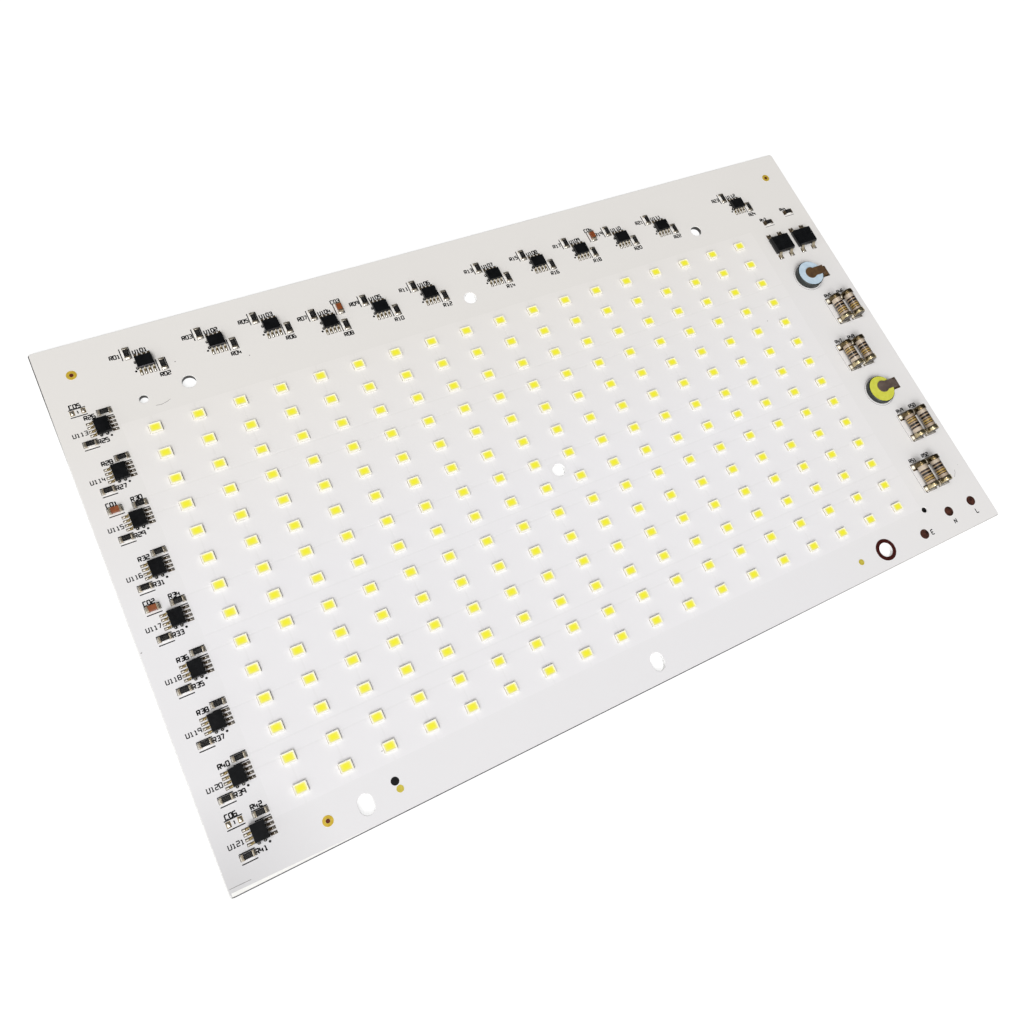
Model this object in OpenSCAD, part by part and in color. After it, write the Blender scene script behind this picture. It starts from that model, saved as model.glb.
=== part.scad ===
// LED module with its driver on the same board: a white-faced aluminium board that
// carries seven strings of LEDs, rows of driver ICs along two of its edges and the
// mains input parts along a third. Millimetres. The origin is the middle of the
// board's back, +X runs along its length and +Z comes out of the component side.

/* [Board] */
// Length of the board along X
board_length = 270; // [240:1:320]
// Width of the board along Y
board_width = 161; // [145:1:200]
// Radius of the board's corners
corner_radius = 1; // [0.5:0.25:5]
// Thickness of the aluminium base
base_thickness = 1.5; // [1:0.1:3]
// Thickness of the white face layer
face_thickness = 0.1; // [0.06:0.01:0.3]
// Bare rim that the white face leaves along the edge of the board
face_setback = 0.25; // [0.1:0.05:1]
// Bare rim that the white face leaves around each hole
hole_rim = 0.15; // [0.05:0.05:0.5]
// Height of the lands above the white face
land_thickness = 0.04; // [0.03:0.01:0.15]

/* [Screw holes] */
// Diameter of the screw holes and width of the screw slots
screw_hole_d = 4; // [3.2:0.1:5]
// Length of the two slots along the lower edge
slot_length = 5.5; // [5.2:0.1:7]
// Left edge of the board to the left screw holes
screw_left = 38; // [34:0.5:42]
// Right edge of the board to the right screw holes
screw_right = 48.9; // [45:0.1:53]
// Left edge of the board to the middle screw holes
screw_middle = 129.8; // [127:0.1:133]
// Upper edge of the board to the screw hole in the middle of the LEDs
screw_centre = 88.6; // [86:0.1:91]
// Upper edge of the board to the upper screw holes
screw_top = 22.6; // [21:0.1:25]
// Lower edge of the board to the lower screw slots and the earth hole
screw_bottom = 6.2; // [5.5:0.1:8]
// Diameter of the earth screw's hole
earth_hole_d = 4.9; // [4.3:0.1:5.5]
// Width of the bare ring around the earth hole
earth_ring_width = 1.3; // [0.8:0.1:1.5]
// Diameter of the locating hole near the upper left corner
locating_hole_d = 2.5; // [2:0.1:3.2]
// Left edge of the board to the locating hole
locating_left = 24.6; // [22:0.1:27]
// Upper edge of the board to the locating hole
locating_top = 23.9; // [23:0.1:25.5]
// Diameter of the small hole near the terminals
small_hole_d = 1.9; // [1.5:0.1:2.5]
// Right edge of the board to the small hole
small_hole_right = 26.8; // [25:0.1:28]
// Lower edge of the board to the small hole
small_hole_bottom = 12.5; // [11.5:0.1:14]

/* [Bare lands] */
// Diameter of the three wire terminals
terminal_d = 3.4; // [2.5:0.1:4.5]
// Right edge of the board to the live terminal
live_right = 7.5; // [6:0.1:9]
// Live terminal to the neutral terminal
neutral_step = 10.6; // [9:0.05:12]
// Right edge of the board to the earth terminal
earth_right = 31.95; // [30:0.05:34]
// Lower edge of the board to the live and neutral terminals
mains_bottom = 8.5; // [7:0.1:10]
// Lower edge of the board to the earth terminal
earth_bottom = 5.2; // [4:0.1:6]
// Outer diameter of the guide rings
guide_ring_d = 2.9; // [2:0.1:4]
// Diameter of the opening in a guide ring
guide_ring_hole = 1.2; // [0.6:0.1:1.4]
// Left edge of the board to the upper left guide ring
guide_left = 8.95; // [7:0.05:10]
// Upper edge of the board to the upper left guide ring
guide_left_top = 10.2; // [8:0.1:11]
// Right edge of the board to the upper right guide ring
guide_right = 8.4; // [7:0.1:10]
// Upper edge of the board to the upper right guide ring
guide_right_top = 9.4; // [8:0.1:11]
// Left edge of the board to the lower guide ring
lower_guide_left = 27.75; // [26:0.05:30]
// Lower edge of the board to the lower guide ring
guide_bottom = 6.75; // [5:0.05:8]
// Lower edge of the board to the guide dots
dot_bottom = 6.05; // [5:0.05:8]
// Diameter of the guide dots
guide_dot_d = 2; // [1.2:0.1:3]
// Left edge of the board to the left guide dot
dot_left = 47.5; // [45:0.1:50]
// Right edge of the board to the right guide dot
dot_right = 59.8; // [57:0.1:62]

/* [LED field] */
// Columns of LEDs
led_columns = 18; // [12:1:18]
// Rows of LEDs in each string
rows_per_string = 2; // [1:1:2]
// Left edge of the board to the first column
field_left = 24.7; // [22:0.1:28]
// Right edge of the board to the last column
field_right = 36.2; // [34:0.1:42]
// Upper edge of the board to the first row
field_top = 33.8; // [32:0.1:38]
// Lower edge of the board to the last row
field_bottom = 17.3; // [16:0.1:20]

/* [LED package] */
// Length of an LED along X
led_length = 3.5; // [3:0.1:4]
// Width of an LED along Y
led_width = 2.8; // [2.5:0.1:3.2]
// Height of an LED above the board
led_height = 0.75; // [0.6:0.05:1]
// Length of the cup's mouth
window_length = 2.7; // [2.4:0.05:2.8]
// Width of the cup's mouth
window_width = 2.1; // [1.8:0.05:2.3]
// Depth of the cup
cup_depth = 0.4; // [0.25:0.05:0.42]
// How far the cup's wall leans in from mouth to floor
cup_lean = 0.2; // [0.05:0.05:0.4]
// How far the phosphor fill lies below the cup's mouth
fill_dip = 0.05; // [0.02:0.01:0.1]
// Thickness of the terminals under an LED
led_foil = 0.15; // [0.1:0.01:0.17]
// How far a terminal shows beyond the end of the body
led_foil_reach = 0.15; // [0.05:0.05:0.3]
// Gap between the two terminals of an LED
led_foil_gap = 0.6; // [0.4:0.1:1]

/* [Driver ICs] */
// Left edge of the board to the first driver of the upper row
row_left = 28.7; // [27:0.1:31]
// Right edge of the board to the last driver of the upper row
row_right = 27.15; // [26:0.05:31]
// Upper edge of the board to the upper row
row_top = 17.05; // [16:0.05:18]
// How much nearer the edge the first three drivers of the row stand
row_raise = 4.5; // [3:0.1:5]
// Extra room after the first driver of the row, for a screw
first_room = 3.9; // [2:0.1:6]
// Extra room in the middle of the row, for a screw
middle_room = 6.3; // [5:0.1:8]
// Left edge of the board to the left column of drivers
column_left = 11.8; // [11:0.05:12.5]
// Upper edge of the board to the first driver of the column
column_top = 28.5; // [27:0.1:31]
// Lower edge of the board to the last driver of the column
column_bottom = 11.9; // [11:0.1:14]
// Length of a driver's body
ic_length = 4.9; // [4.6:0.1:5.2]
// Width of a driver's body
ic_width = 3.9; // [3.7:0.1:4.1]
// Height of a driver's body
ic_height = 1.4; // [1.2:0.05:1.6]
// Gap between a driver's body and its lands
ic_standoff = 0.12; // [0.05:0.01:0.2]
// How far the sides of the body lean in above and below its leads
ic_draft = 0.12; // [0.05:0.01:0.2]
// Distance across the feet of a driver's leads
ic_span = 6; // [5.8:0.1:6.2]
// Pitch of the leads
ic_pitch = 1.27; // [1.1:0.01:1.3]
// Width of a lead
ic_lead_width = 0.42; // [0.3:0.02:0.5]
// Thickness of a lead
ic_lead_thickness = 0.2; // [0.12:0.01:0.25]
// Length of a lead's foot
ic_foot = 0.55; // [0.4:0.05:0.6]
// Leads on each side
ic_side_leads = 4; // [2:1:4]
// Diameter of the pin mark in a driver's top
pin_mark_d = 0.6; // [0.3:0.1:1]
// Depth of the pin mark
pin_mark_depth = 0.1; // [0.05:0.01:0.2]
// Corner of the body to the pin mark, both ways
pin_mark_inset = 0.8; // [0.6:0.1:1]
// Land beyond the toe of a lead
ic_land_toe = 0.9; // [0.3:0.1:1.1]
// Land behind the heel of a lead
ic_land_heel = 0.3; // [0.1:0.05:0.4]
// Land beside a lead, on each side
ic_land_side = 0.2; // [0.05:0.01:0.25]

/* [Chip parts] */
// Length of a chip part
chip_length = 3.2; // [2.8:0.1:3.5]
// Width of a chip part
chip_width = 1.6; // [1.3:0.1:1.7]
// Height of a chip resistor's ceramic
chip_height = 0.5; // [0.4:0.05:0.7]
// Height of a chip capacitor's ceramic
capacitor_height = 1.1; // [0.8:0.05:1.4]
// Length of a tinned end
chip_end_length = 0.5; // [0.3:0.05:0.7]
// Thickness of the tin on an end
chip_end_wall = 0.05; // [0.03:0.01:0.08]
// Thickness of the dark coat on a resistor
coat_thickness = 0.04; // [0.02:0.01:0.06]
// Land beyond the end of a chip part
chip_land_toe = 0.5; // [0.3:0.1:0.8]
// Land under the end of a chip part
chip_land_heel = 0.7; // [0.4:0.1:0.9]
// Space between a driver's body and its upper resistor, in the row
row_upper_gap = 0.7; // [0.6:0.05:1]
// Space between a driver's body and its lower resistor, in the row
row_lower_gap = 1.2; // [0.8:0.1:1.5]
// Upper resistor of a driver in the row, away from the row's line
row_upper_shift = 4.3; // [3.8:0.05:4.6]
// Lower resistor of a driver in the row, away from the row's line
row_lower_shift = 2.1; // [1.6:0.1:2.6]
// Space between a driver's body and its outer resistor, in the column
column_outer_gap = 0.9; // [0.7:0.1:1.2]
// Space between a driver's body and its inner resistor, in the column
column_inner_gap = 1; // [0.7:0.1:1.5]
// Outer resistor of a driver in the column, away from the column's line
column_outer_shift = 4.5; // [4.2:0.1:5]
// Inner resistor of a driver in the column, away from the column's line
column_inner_shift = 1.8; // [1.5:0.1:2.4]
// Space between a driver's body and the capacitor beside it
capacitor_gap = 1.5; // [1.2:0.1:1.9]
// Extra space between a driver and the second capacitor of the row
capacitor_room = 2.2; // [1.5:0.1:2.8]
// Capacitor of the row, away from the row's line
row_capacitor_shift = 4; // [3.5:0.1:4.4]
// Capacitor of the column, away from the column's line
column_capacitor_shift = 4.7; // [4.4:0.1:5]
// Extra space between a driver and the first empty place of the column
empty_room = 1.8; // [1:0.1:2.4]

/* [Bridge rectifiers] */
// Right edge of the board to the middle of the right bridge
bridge_right = 8.9; // [8:0.1:10]
// Upper edge of the board to the middle of the bridges
bridge_top = 38.15; // [37:0.05:39]
// Distance between the two bridges
bridge_step = 10.55; // [10:0.05:11.5]
// Length of a bridge's body along X
bridge_length = 7.8; // [7:0.1:9]
// Width of a bridge's body along Y
bridge_width = 6.5; // [5.8:0.1:6.8]
// Height of a bridge's body
bridge_height = 2.1; // [1.8:0.1:3]
// Gap between a bridge's body and its lands
bridge_standoff = 0.15; // [0.05:0.05:0.3]
// How far the sides of a bridge lean in above and below its leads
bridge_draft = 0.2; // [0.1:0.05:0.3]
// Distance across the feet of a bridge's leads
bridge_span = 10.2; // [9.6:0.1:10.6]
// Pitch of a bridge's leads
bridge_pitch = 5; // [4.6:0.1:5.5]
// Width of a bridge's lead
bridge_lead_width = 1.1; // [0.8:0.1:1.4]
// Thickness of a bridge's lead
bridge_lead_thickness = 0.25; // [0.2:0.05:0.35]
// Length of a bridge lead's foot
bridge_foot = 1; // [0.8:0.1:1.2]
// Land around the foot of a bridge's lead
bridge_land_rim = 0.4; // [0.2:0.05:0.6]
// Space between the first bridge's lands and the chip part above it
first_chip_gap = 4.1; // [3:0.1:4.5]
// Space between the second bridge's lands and the chip part above it
second_chip_gap = 6; // [5:0.1:6.5]
// How far those chip parts lie to the right of their bridges
bridge_chip_shift = 0.7; // [0:0.1:1]

/* [Varistors] */
// Right edge of the board to the middle of the discs
disc_right = 16.4; // [15.5:0.1:17.5]
// Upper edge of the board to the middle of the first disc
disc_top = 53.6; // [52.5:0.1:55]
// Diameter of a disc
disc_d = 10.2; // [9:0.1:11]
// Thickness of the first disc
first_disc_thickness = 2.5; // [1.5:0.1:3.5]
// Thickness of the second disc
second_disc_thickness = 2; // [1.5:0.1:3.5]
// Chamfer of a disc's edges
disc_chamfer = 0.25; // [0.1:0.05:0.4]
// Bare rim around the electrode on a disc
electrode_rim = 0.3; // [0.2:0.05:0.8]
// Thickness of the electrode
electrode_thickness = 0.06; // [0.04:0.01:0.1]
// Diameter of the strap's round head
strap_head_d = 4.4; // [3.6:0.1:5]
// Width of the strap's neck
strap_neck = 3.2; // [2.6:0.1:3.5]
// Width of the strap's tab
strap_tab = 3.2; // [2.8:0.1:5]
// Thickness of the strap
strap_thickness = 0.35; // [0.25:0.05:0.5]
// Clear space between a disc's edge and the strap's drop
strap_clearance = 0.5; // [0.3:0.1:0.8]
// Length of the strap's foot beyond its drop
strap_foot = 3.2; // [2.5:0.1:3.6]
// How far the head of the second strap stands off the middle of its disc
second_head_shift = 0.8; // [0:0.1:1]
// How far the second strap lies above the middle line of its disc
second_strap_side = 0.6; // [0:0.1:1]
// Land around the foot of a strap
strap_land_rim = 0.6; // [0.15:0.05:0.8]

/* [Input resistors] */
// Right edge of the board to the middle of the outer pairs
outer_pair_right = 9.7; // [9.2:0.1:10.5]
// Right edge of the board to the middle of the inner pairs
inner_pair_right = 16.6; // [15.5:0.1:17.5]
// Lower edge of the board to the lands of the last pair
pair_bottom = 17.3; // [16:0.1:19]
// Extra space between the two pairs of a channel
pair_room = 1.4; // [0.5:0.1:2.5]
// Distance between the two resistors of a pair
rod_step = 5.9; // [5.5:0.05:6.2]
// Length of a resistor over its caps
rod_length = 10.2; // [9.5:0.1:11]
// Diameter of a resistor's rod
rod_d = 3.5; // [3:0.1:3.8]
// Diameter of its caps
cap_d = 4.1; // [3.9:0.1:4.8]
// Length of a cap
cap_length = 1.7; // [1.3:0.1:2.2]
// Thickness of a cap's end
cap_end = 0.3; // [0.2:0.05:0.5]
// Chamfer of a cap's rim
cap_chamfer = 0.25; // [0.1:0.05:0.3]
// Land beyond the end of a resistor
rod_land_toe = 0.5; // [0.3:0.1:0.8]
// Land inside the cap's inner edge
rod_land_heel = 0.4; // [0.2:0.1:0.8]
// Width of the land under a cap
rod_land_width = 4.9; // [4.4:0.1:5.2]
// Height of the solder along a cap
saddle_height = 0.8; // [0.5:0.1:1.1]
// Thickness of the solder under a cap
solder_film = 0.06; // [0.04:0.01:0.15]

/* [Hidden] */
$fn = 48;

// Board edges and levels
left_edge = -board_length / 2;
right_edge = board_length / 2;
top_edge = board_width / 2;
bottom_edge = -board_width / 2;
face_z = base_thickness + face_thickness;
land_z = face_z + land_thickness;

// LED field
string_count = 7;
led_rows = string_count * rows_per_string;
led_pitch_x = (board_length - field_left - field_right) / (led_columns - 1);
led_pitch_y = (board_width - field_top - field_bottom) / (led_rows - 1);
led_body_height = led_height - led_foil;

// Screw holes
screw_x = [left_edge + screw_left, left_edge + screw_middle, right_edge - screw_right];
screw_upper_y = top_edge - screw_top;
screw_lower_y = bottom_edge + screw_bottom;
round_holes = [
    [screw_x[0], screw_upper_y, screw_hole_d],
    [screw_x[1], screw_upper_y, screw_hole_d],
    [screw_x[2], screw_upper_y, screw_hole_d],
    [screw_x[1], top_edge - screw_centre, screw_hole_d],
    [left_edge + locating_left, top_edge - locating_top, locating_hole_d],
    [right_edge - small_hole_right, bottom_edge + small_hole_bottom, small_hole_d]
];

// Guide rings
guide_places = [
    [left_edge + guide_left, top_edge - guide_left_top],
    [right_edge - guide_right, top_edge - guide_right_top],
    [left_edge + lower_guide_left, bottom_edge + guide_bottom]
];

// Drivers: each place is [x, y, turn, first resistor's place, second resistor's place]
row_drivers = 12;
raised_drivers = 3;
middle_driver = 6;
last_driver = row_drivers - 1;
row_steps = last_driver + 1;
row_pitch = (board_length - row_left - row_right - first_room - middle_room) / row_steps;
function row_x(i) = left_edge + row_left + i * row_pitch
    + (i >= 1 ? first_room : 0)
    + (i >= middle_driver ? middle_room : 0)
    + (i == last_driver ? row_pitch : 0);
function row_y(i) = top_edge - row_top + (i < raised_drivers ? row_raise : 0);
chip_reach = (ic_length + chip_width) / 2;
row_upper = [-chip_reach - row_upper_gap, row_upper_shift];
row_lower = [chip_reach + row_lower_gap, -row_lower_shift];
row_places = [for (i = [0 : last_driver]) [row_x(i), row_y(i), 0, row_upper, row_lower]];
column_drivers = 9;
column_pitch = (board_width - column_top - column_bottom) / (column_drivers - 1);
column_outer = [-chip_reach - column_outer_gap, column_outer_shift];
column_inner = [chip_reach + column_inner_gap, -column_inner_shift];
column_places = [
    for (i = [0 : column_drivers - 1]) [
        left_edge + column_left, top_edge - column_top - i * column_pitch, 90,
        column_outer, column_inner
    ]
];
ic_body_z = land_z + ic_standoff;

// Capacitors: each place is [driver's place, extra room, shift from the driver's line]
fitted_capacitors = [
    [row_places[3], 0, row_capacitor_shift],
    [row_places[8], capacitor_room, row_capacitor_shift],
    [column_places[2], 0, column_capacitor_shift],
    [column_places[4], 0, column_capacitor_shift]
];
empty_capacitors = [
    [column_places[0], empty_room, column_capacitor_shift],
    [column_places[8], 0, column_capacitor_shift]
];
capacitor_reach = chip_reach + capacitor_gap;

// Bridges and the chip part above each
bridge_places = [
    [right_edge - bridge_right - bridge_step, top_edge - bridge_top],
    [right_edge - bridge_right, top_edge - bridge_top]
];
bridge_land_end = bridge_span / 2 + bridge_land_rim;
input_chip_places = [
    bridge_places[0] + [bridge_chip_shift, bridge_land_end + first_chip_gap + chip_width / 2],
    bridge_places[1] + [bridge_chip_shift, bridge_land_end + second_chip_gap + chip_width / 2]
];

// Right column: disc, pair, pair, disc, pair, pair, with even gaps between them
pair_span = rod_length + 2 * rod_land_toe;
column_room = board_width - disc_top - pair_bottom + disc_d / 2;
column_gap = (column_room - 2 * disc_d - 4 * pair_span - 2 * pair_room) / 5;
first_disc_y = top_edge - disc_top;
disc_to_pair = disc_d / 2 + column_gap + pair_span / 2;
pair_to_pair = pair_span + column_gap + pair_room;
channel_step = 2 * disc_to_pair + pair_to_pair;
disc_x = right_edge - disc_right;
disc_places = [[disc_x, first_disc_y], [disc_x, first_disc_y - channel_step]];
disc_thicknesses = [first_disc_thickness, second_disc_thickness];
head_shifts = [0, second_head_shift];
strap_sides = [0, second_strap_side];
pair_places = [
    for (disc = disc_places, inner = [0, 1]) [
        right_edge - (inner == 1 ? inner_pair_right : outer_pair_right),
        disc[1] - disc_to_pair - inner * pair_to_pair
    ]
];
strap_drop = disc_d / 2 + strap_clearance;
strap_end = strap_drop + strap_foot;
rod_z = land_z + solder_film + cap_d / 2;

// Flat outline with round corners
module round_corner_outline(length, width, radius) {
    square([length - 2 * radius, width], center = true);
    square([length, width - 2 * radius], center = true);
    for (x = [-1, 1], y = [-1, 1])
        translate([x * (length / 2 - radius), y * (width / 2 - radius)]) circle(radius);
}

// Every hole of the board as an upright tool, widened by a rim. The earth hole's bare ring
// runs up to its edge, so that hole has no rim
module hole_tools(rim, height) {
    for (hole = round_holes)
        translate([hole[0], hole[1], -height]) cylinder(d = hole[2] + 2 * rim, h = 3 * height);
    translate([screw_x[2], screw_lower_y, -height]) cylinder(d = earth_hole_d, h = 3 * height);
    for (x = [screw_x[0], screw_x[1]])
        translate([x, screw_lower_y, -height]) linear_extrude(3 * height) slot_outline(rim);
}

// Screw slot along Y
module slot_outline(rim) {
    half_run = (slot_length - screw_hole_d) / 2;
    square([screw_hole_d + 2 * rim, 2 * half_run], center = true);
    for (side = [-1, 1]) translate([0, side * half_run]) circle(d = screw_hole_d + 2 * rim);
}

module aluminium_base() {
    color("lightgray") difference() {
        linear_extrude(base_thickness) round_corner_outline(board_length, board_width, corner_radius);
        hole_tools(0, base_thickness);
    }
}

module white_face() {
    color("white") translate([0, 0, base_thickness]) difference() {
        linear_extrude(face_thickness)
            round_corner_outline(board_length - 2 * face_setback, board_width - 2 * face_setback,
                                 corner_radius);
        hole_tools(hole_rim, face_thickness);
    }
}

// Round land on the white face
module round_land(x, y, diameter) {
    translate([x, y, face_z]) cylinder(d = diameter, h = land_thickness);
}

module terminal_lands() {
    color([0.25, 0.14, 0.12]) {
        round_land(right_edge - live_right, bottom_edge + mains_bottom, terminal_d);
        round_land(right_edge - live_right - neutral_step, bottom_edge + mains_bottom, terminal_d);
        round_land(right_edge - earth_right, bottom_edge + earth_bottom, terminal_d);
    }
}

// Flat ring that stands on the white face
module land_ring(x, y, outer, inner) {
    translate([x, y, face_z]) difference() {
        cylinder(d = outer, h = land_thickness);
        translate([0, 0, -land_thickness]) cylinder(d = inner, h = 3 * land_thickness);
    }
}

module earth_ring() {
    color([0.28, 0.08, 0.06])
        land_ring(screw_x[2], screw_lower_y, earth_hole_d + 2 * earth_ring_width, earth_hole_d);
}

module guide_rings() {
    color("gold") {
        for (place = guide_places)
            land_ring(place[0], place[1], guide_ring_d, guide_ring_hole);
    }
}

module guide_dots() {
    color("gold") {
        round_land(left_edge + dot_left, bottom_edge + dot_bottom, guide_dot_d);
        round_land(right_edge - dot_right, bottom_edge + dot_bottom, guide_dot_d);
    }
}

// Puts its children at a driver's place, with the driver's length along X
module at_driver(place) {
    translate([place[0], place[1], 0]) rotate(place[2]) children();
}

// Puts its children at both resistors of a driver, with the chip's length along Y
module at_resistors(place) {
    at_driver(place) {
        translate(place[3]) children();
        translate(place[4]) children();
    }
}

// Puts its children at a capacitor's place, with the chip's length along Y
module at_capacitor(entry) {
    at_driver(entry[0]) translate([capacitor_reach + entry[1], entry[2], 0]) children();
}

// Both lands of a chip part that lies along Y
module chip_land_pair() {
    land_length = chip_land_toe + chip_land_heel;
    for (side = [-1, 1])
        translate([0, side * (chip_length / 2 + (chip_land_toe - chip_land_heel) / 2),
                   face_z + land_thickness / 2])
            cube([chip_width, land_length, land_thickness], center = true);
}

module empty_lands() {
    color([0.6, 0.42, 0.2])
        for (entry = empty_capacitors) at_capacitor(entry) chip_land_pair();
}

module chip_lands() {
    color("silver") {
        for (place = concat(row_places, column_places)) at_resistors(place) chip_land_pair();
        for (entry = fitted_capacitors) at_capacitor(entry) chip_land_pair();
        for (place = input_chip_places) translate(place) rotate(90) chip_land_pair();
    }
}

// Puts its children at every lead of a driver, facing +Y
module at_ic_leads() {
    for (turn = [0, 180], i = [0 : ic_side_leads - 1])
        rotate(turn) translate([(i - (ic_side_leads - 1) / 2) * ic_pitch, 0, 0]) children();
}

module driver_lands() {
    land_width = ic_lead_width + 2 * ic_land_side;
    heel = ic_span / 2 - ic_foot - ic_land_heel;
    land_length = ic_foot + ic_land_heel + ic_land_toe;
    color("silver")
        for (place = concat(row_places, column_places)) at_driver(place) at_ic_leads()
            translate([-land_width / 2, heel, face_z]) cube([land_width, land_length, land_thickness]);
}

// Bridge, strap and resistor lands, the last with the solder that holds a cap
module power_lands() {
    color("silver") {
        for (place = bridge_places) translate(place) bridge_lands();
        for (i = [0, 1]) {
            translate(disc_places[i]) {
                round_land(0, 0, disc_d - 2 * electrode_rim);
                translate([0, strap_sides[i], 0]) strap_land();
            }
        }
        for (place = pair_places) at_rods(place) rod_lands();
    }
}

module bridge_lands() {
    land_width = bridge_lead_width + 2 * bridge_land_rim;
    land_length = bridge_foot + 2 * bridge_land_rim;
    for (turn = [0, 180], side = [-1, 1])
        rotate(turn)
            translate([side * bridge_pitch / 2 - land_width / 2, bridge_land_end - land_length, face_z])
                cube([land_width, land_length, land_thickness]);
}

module strap_land() {
    land_length = strap_foot + strap_land_rim - strap_thickness;
    land_width = strap_tab + 2 * strap_land_rim;
    translate([strap_drop + strap_thickness, -land_width / 2, face_z])
        cube([land_length, land_width, land_thickness]);
}

// Land and solder saddle under both caps of a resistor that lies along Y
module rod_lands() {
    land_length = cap_length + rod_land_toe + rod_land_heel;
    for (side = [0, 180]) rotate(side) {
        translate([-rod_land_width / 2, pair_span / 2 - land_length, face_z])
            cube([rod_land_width, land_length, land_thickness]);
        difference() {
            translate([0, rod_length / 2, land_z]) rotate([90, 0, 0])
                linear_extrude(cap_length) saddle_outline();
            translate([0, pair_span, rod_z]) rotate([90, 0, 0]) cylinder(d = cap_d, h = pair_span);
        }
    }
}

// Solder seen along the resistor: wide on the land, narrow where it meets the cap
module saddle_outline() {
    drop = rod_z - land_z - saddle_height;
    touch = sqrt(pow(cap_d / 2, 2) - pow(drop, 2)) - solder_film;
    polygon([
        [-rod_land_width / 2, 0], [rod_land_width / 2, 0], [touch, saddle_height], [-touch, saddle_height]
    ]);
}

// Puts its children at every LED of a string
module at_leds(string) {
    for (row = [0 : rows_per_string - 1], column = [0 : led_columns - 1])
        translate([
            left_edge + field_left + column * led_pitch_x,
            top_edge - field_top - ((string - 1) * rows_per_string + row) * led_pitch_y,
            face_z
        ]) children();
}

// Cup of an LED: four leaning walls from the floor to a level above or below the mouth
module cup(rise) {
    intersection() {
        rotate([90, 0, 0]) linear_extrude(led_width, center = true) cup_outline(window_length, rise);
        rotate([90, 0, 90]) linear_extrude(led_length, center = true) cup_outline(window_width, rise);
    }
}

// Cup seen from one side; the walls keep their lean at every level
module cup_outline(mouth, rise) {
    floor_z = led_height - cup_depth;
    half_floor = mouth / 2 - cup_lean;
    half_level = mouth / 2 + cup_lean * rise / cup_depth;
    polygon([
        [-half_floor, floor_z], [half_floor, floor_z],
        [half_level, led_height + rise], [-half_level, led_height + rise]
    ]);
}

module led_bodies(string) {
    color("ivory") at_leds(string) difference() {
        translate([-led_length / 2, -led_width / 2, led_foil])
            cube([led_length, led_width, led_body_height]);
        cup(fill_dip);
    }
}

module led_fills(string) {
    color("gold") at_leds(string) cup(-fill_dip);
}

module led_terminals(string) {
    foil_length = (led_length - led_foil_gap) / 2 + led_foil_reach;
    color("silver") at_leds(string)
        for (side = [-1, 1])
            translate([side * (led_foil_gap + foil_length) / 2, 0, led_foil / 2])
                cube([foil_length, led_width - 2 * led_foil, led_foil], center = true);
}

// Moulded body: sides lean in above and below a flat band where the leads come out
module moulded_body(length, width, height, draft, band) {
    intersection() {
        rotate([90, 0, 0]) linear_extrude(width, center = true)
            moulded_outline(length, height, draft, band);
        rotate([90, 0, 90]) linear_extrude(length, center = true)
            moulded_outline(width, height, draft, band);
    }
}

module moulded_outline(span, height, draft, band) {
    low = (height - band) / 2;
    high = (height + band) / 2;
    half = span / 2;
    polygon([
        [-half + draft, 0], [half - draft, 0], [half, low], [half, high],
        [half - draft, height], [-half + draft, height], [-half, high], [-half, low]
    ]);
}

// Gull-wing lead that leaves a body at half its width and stands on its foot
module gull_lead(body_half, span, height, foot, width, thickness) {
    toe = span / 2;
    knee = toe - foot;
    shoulder = (body_half + knee) / 2;
    crown = height + thickness;
    translate([-width / 2, 0, 0]) rotate([90, 0, 90]) linear_extrude(width) polygon([
        [body_half, crown], [shoulder, crown], [knee, thickness], [toe, thickness],
        [toe, 0], [knee - thickness, 0], [shoulder - thickness, height], [body_half, height]
    ]);
}

module driver_bodies(places) {
    color([0.12, 0.12, 0.13]) for (place = places) at_driver(place) translate([0, 0, ic_body_z])
        difference() {
            moulded_body(ic_length, ic_width, ic_height, ic_draft, ic_lead_thickness);
            translate([-ic_length / 2 + pin_mark_inset, -ic_width / 2 + pin_mark_inset,
                       ic_height - pin_mark_depth])
                cylinder(d = pin_mark_d, h = 2 * pin_mark_depth);
        }
}

module driver_leads(places) {
    lead_height = ic_standoff + (ic_height - ic_lead_thickness) / 2;
    color("darkkhaki") for (place = places) at_driver(place) at_ic_leads()
        translate([0, 0, land_z])
            gull_lead(ic_width / 2, ic_span, lead_height, ic_foot, ic_lead_width, ic_lead_thickness);
}

// Ceramic of a chip part that lies along Y, inside its tinned ends
module chip_ceramic(height) {
    ceramic_length = chip_length - 2 * chip_end_wall;
    ceramic_width = chip_width - 2 * chip_end_wall;
    translate([0, 0, land_z + chip_end_wall + height / 2])
        cube([ceramic_width, ceramic_length, height], center = true);
}

// Both tinned ends of a chip part, each a cup over the end of the ceramic
module chip_ends(height) {
    end_height = height + 2 * chip_end_wall;
    difference() {
        for (side = [-1, 1])
            translate([0, side * (chip_length - chip_end_length) / 2, land_z + end_height / 2])
                cube([chip_width, chip_end_length, end_height], center = true);
        chip_ceramic(height);
    }
}

// Dark coat on a chip resistor, between its ends
module chip_coat() {
    coat_length = chip_length - 2 * chip_end_length;
    coat_width = chip_width - 2 * chip_end_wall;
    translate([0, 0, land_z + chip_end_wall + chip_height + coat_thickness / 2])
        cube([coat_width, coat_length, coat_thickness], center = true);
}

module row_resistor_chips() {
    color("whitesmoke") {
        for (place = row_places) at_resistors(place) chip_ceramic(chip_height);
        for (place = input_chip_places) translate(place) rotate(90) chip_ceramic(chip_height);
    }
}

module row_resistor_ends() {
    color("silver") {
        for (place = row_places) at_resistors(place) chip_ends(chip_height);
        for (place = input_chip_places) translate(place) rotate(90) chip_ends(chip_height);
    }
}

module column_resistor_chips() {
    color("whitesmoke") for (place = column_places) at_resistors(place) chip_ceramic(chip_height);
}

module column_resistor_ends() {
    color("silver") for (place = column_places) at_resistors(place) chip_ends(chip_height);
}

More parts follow.
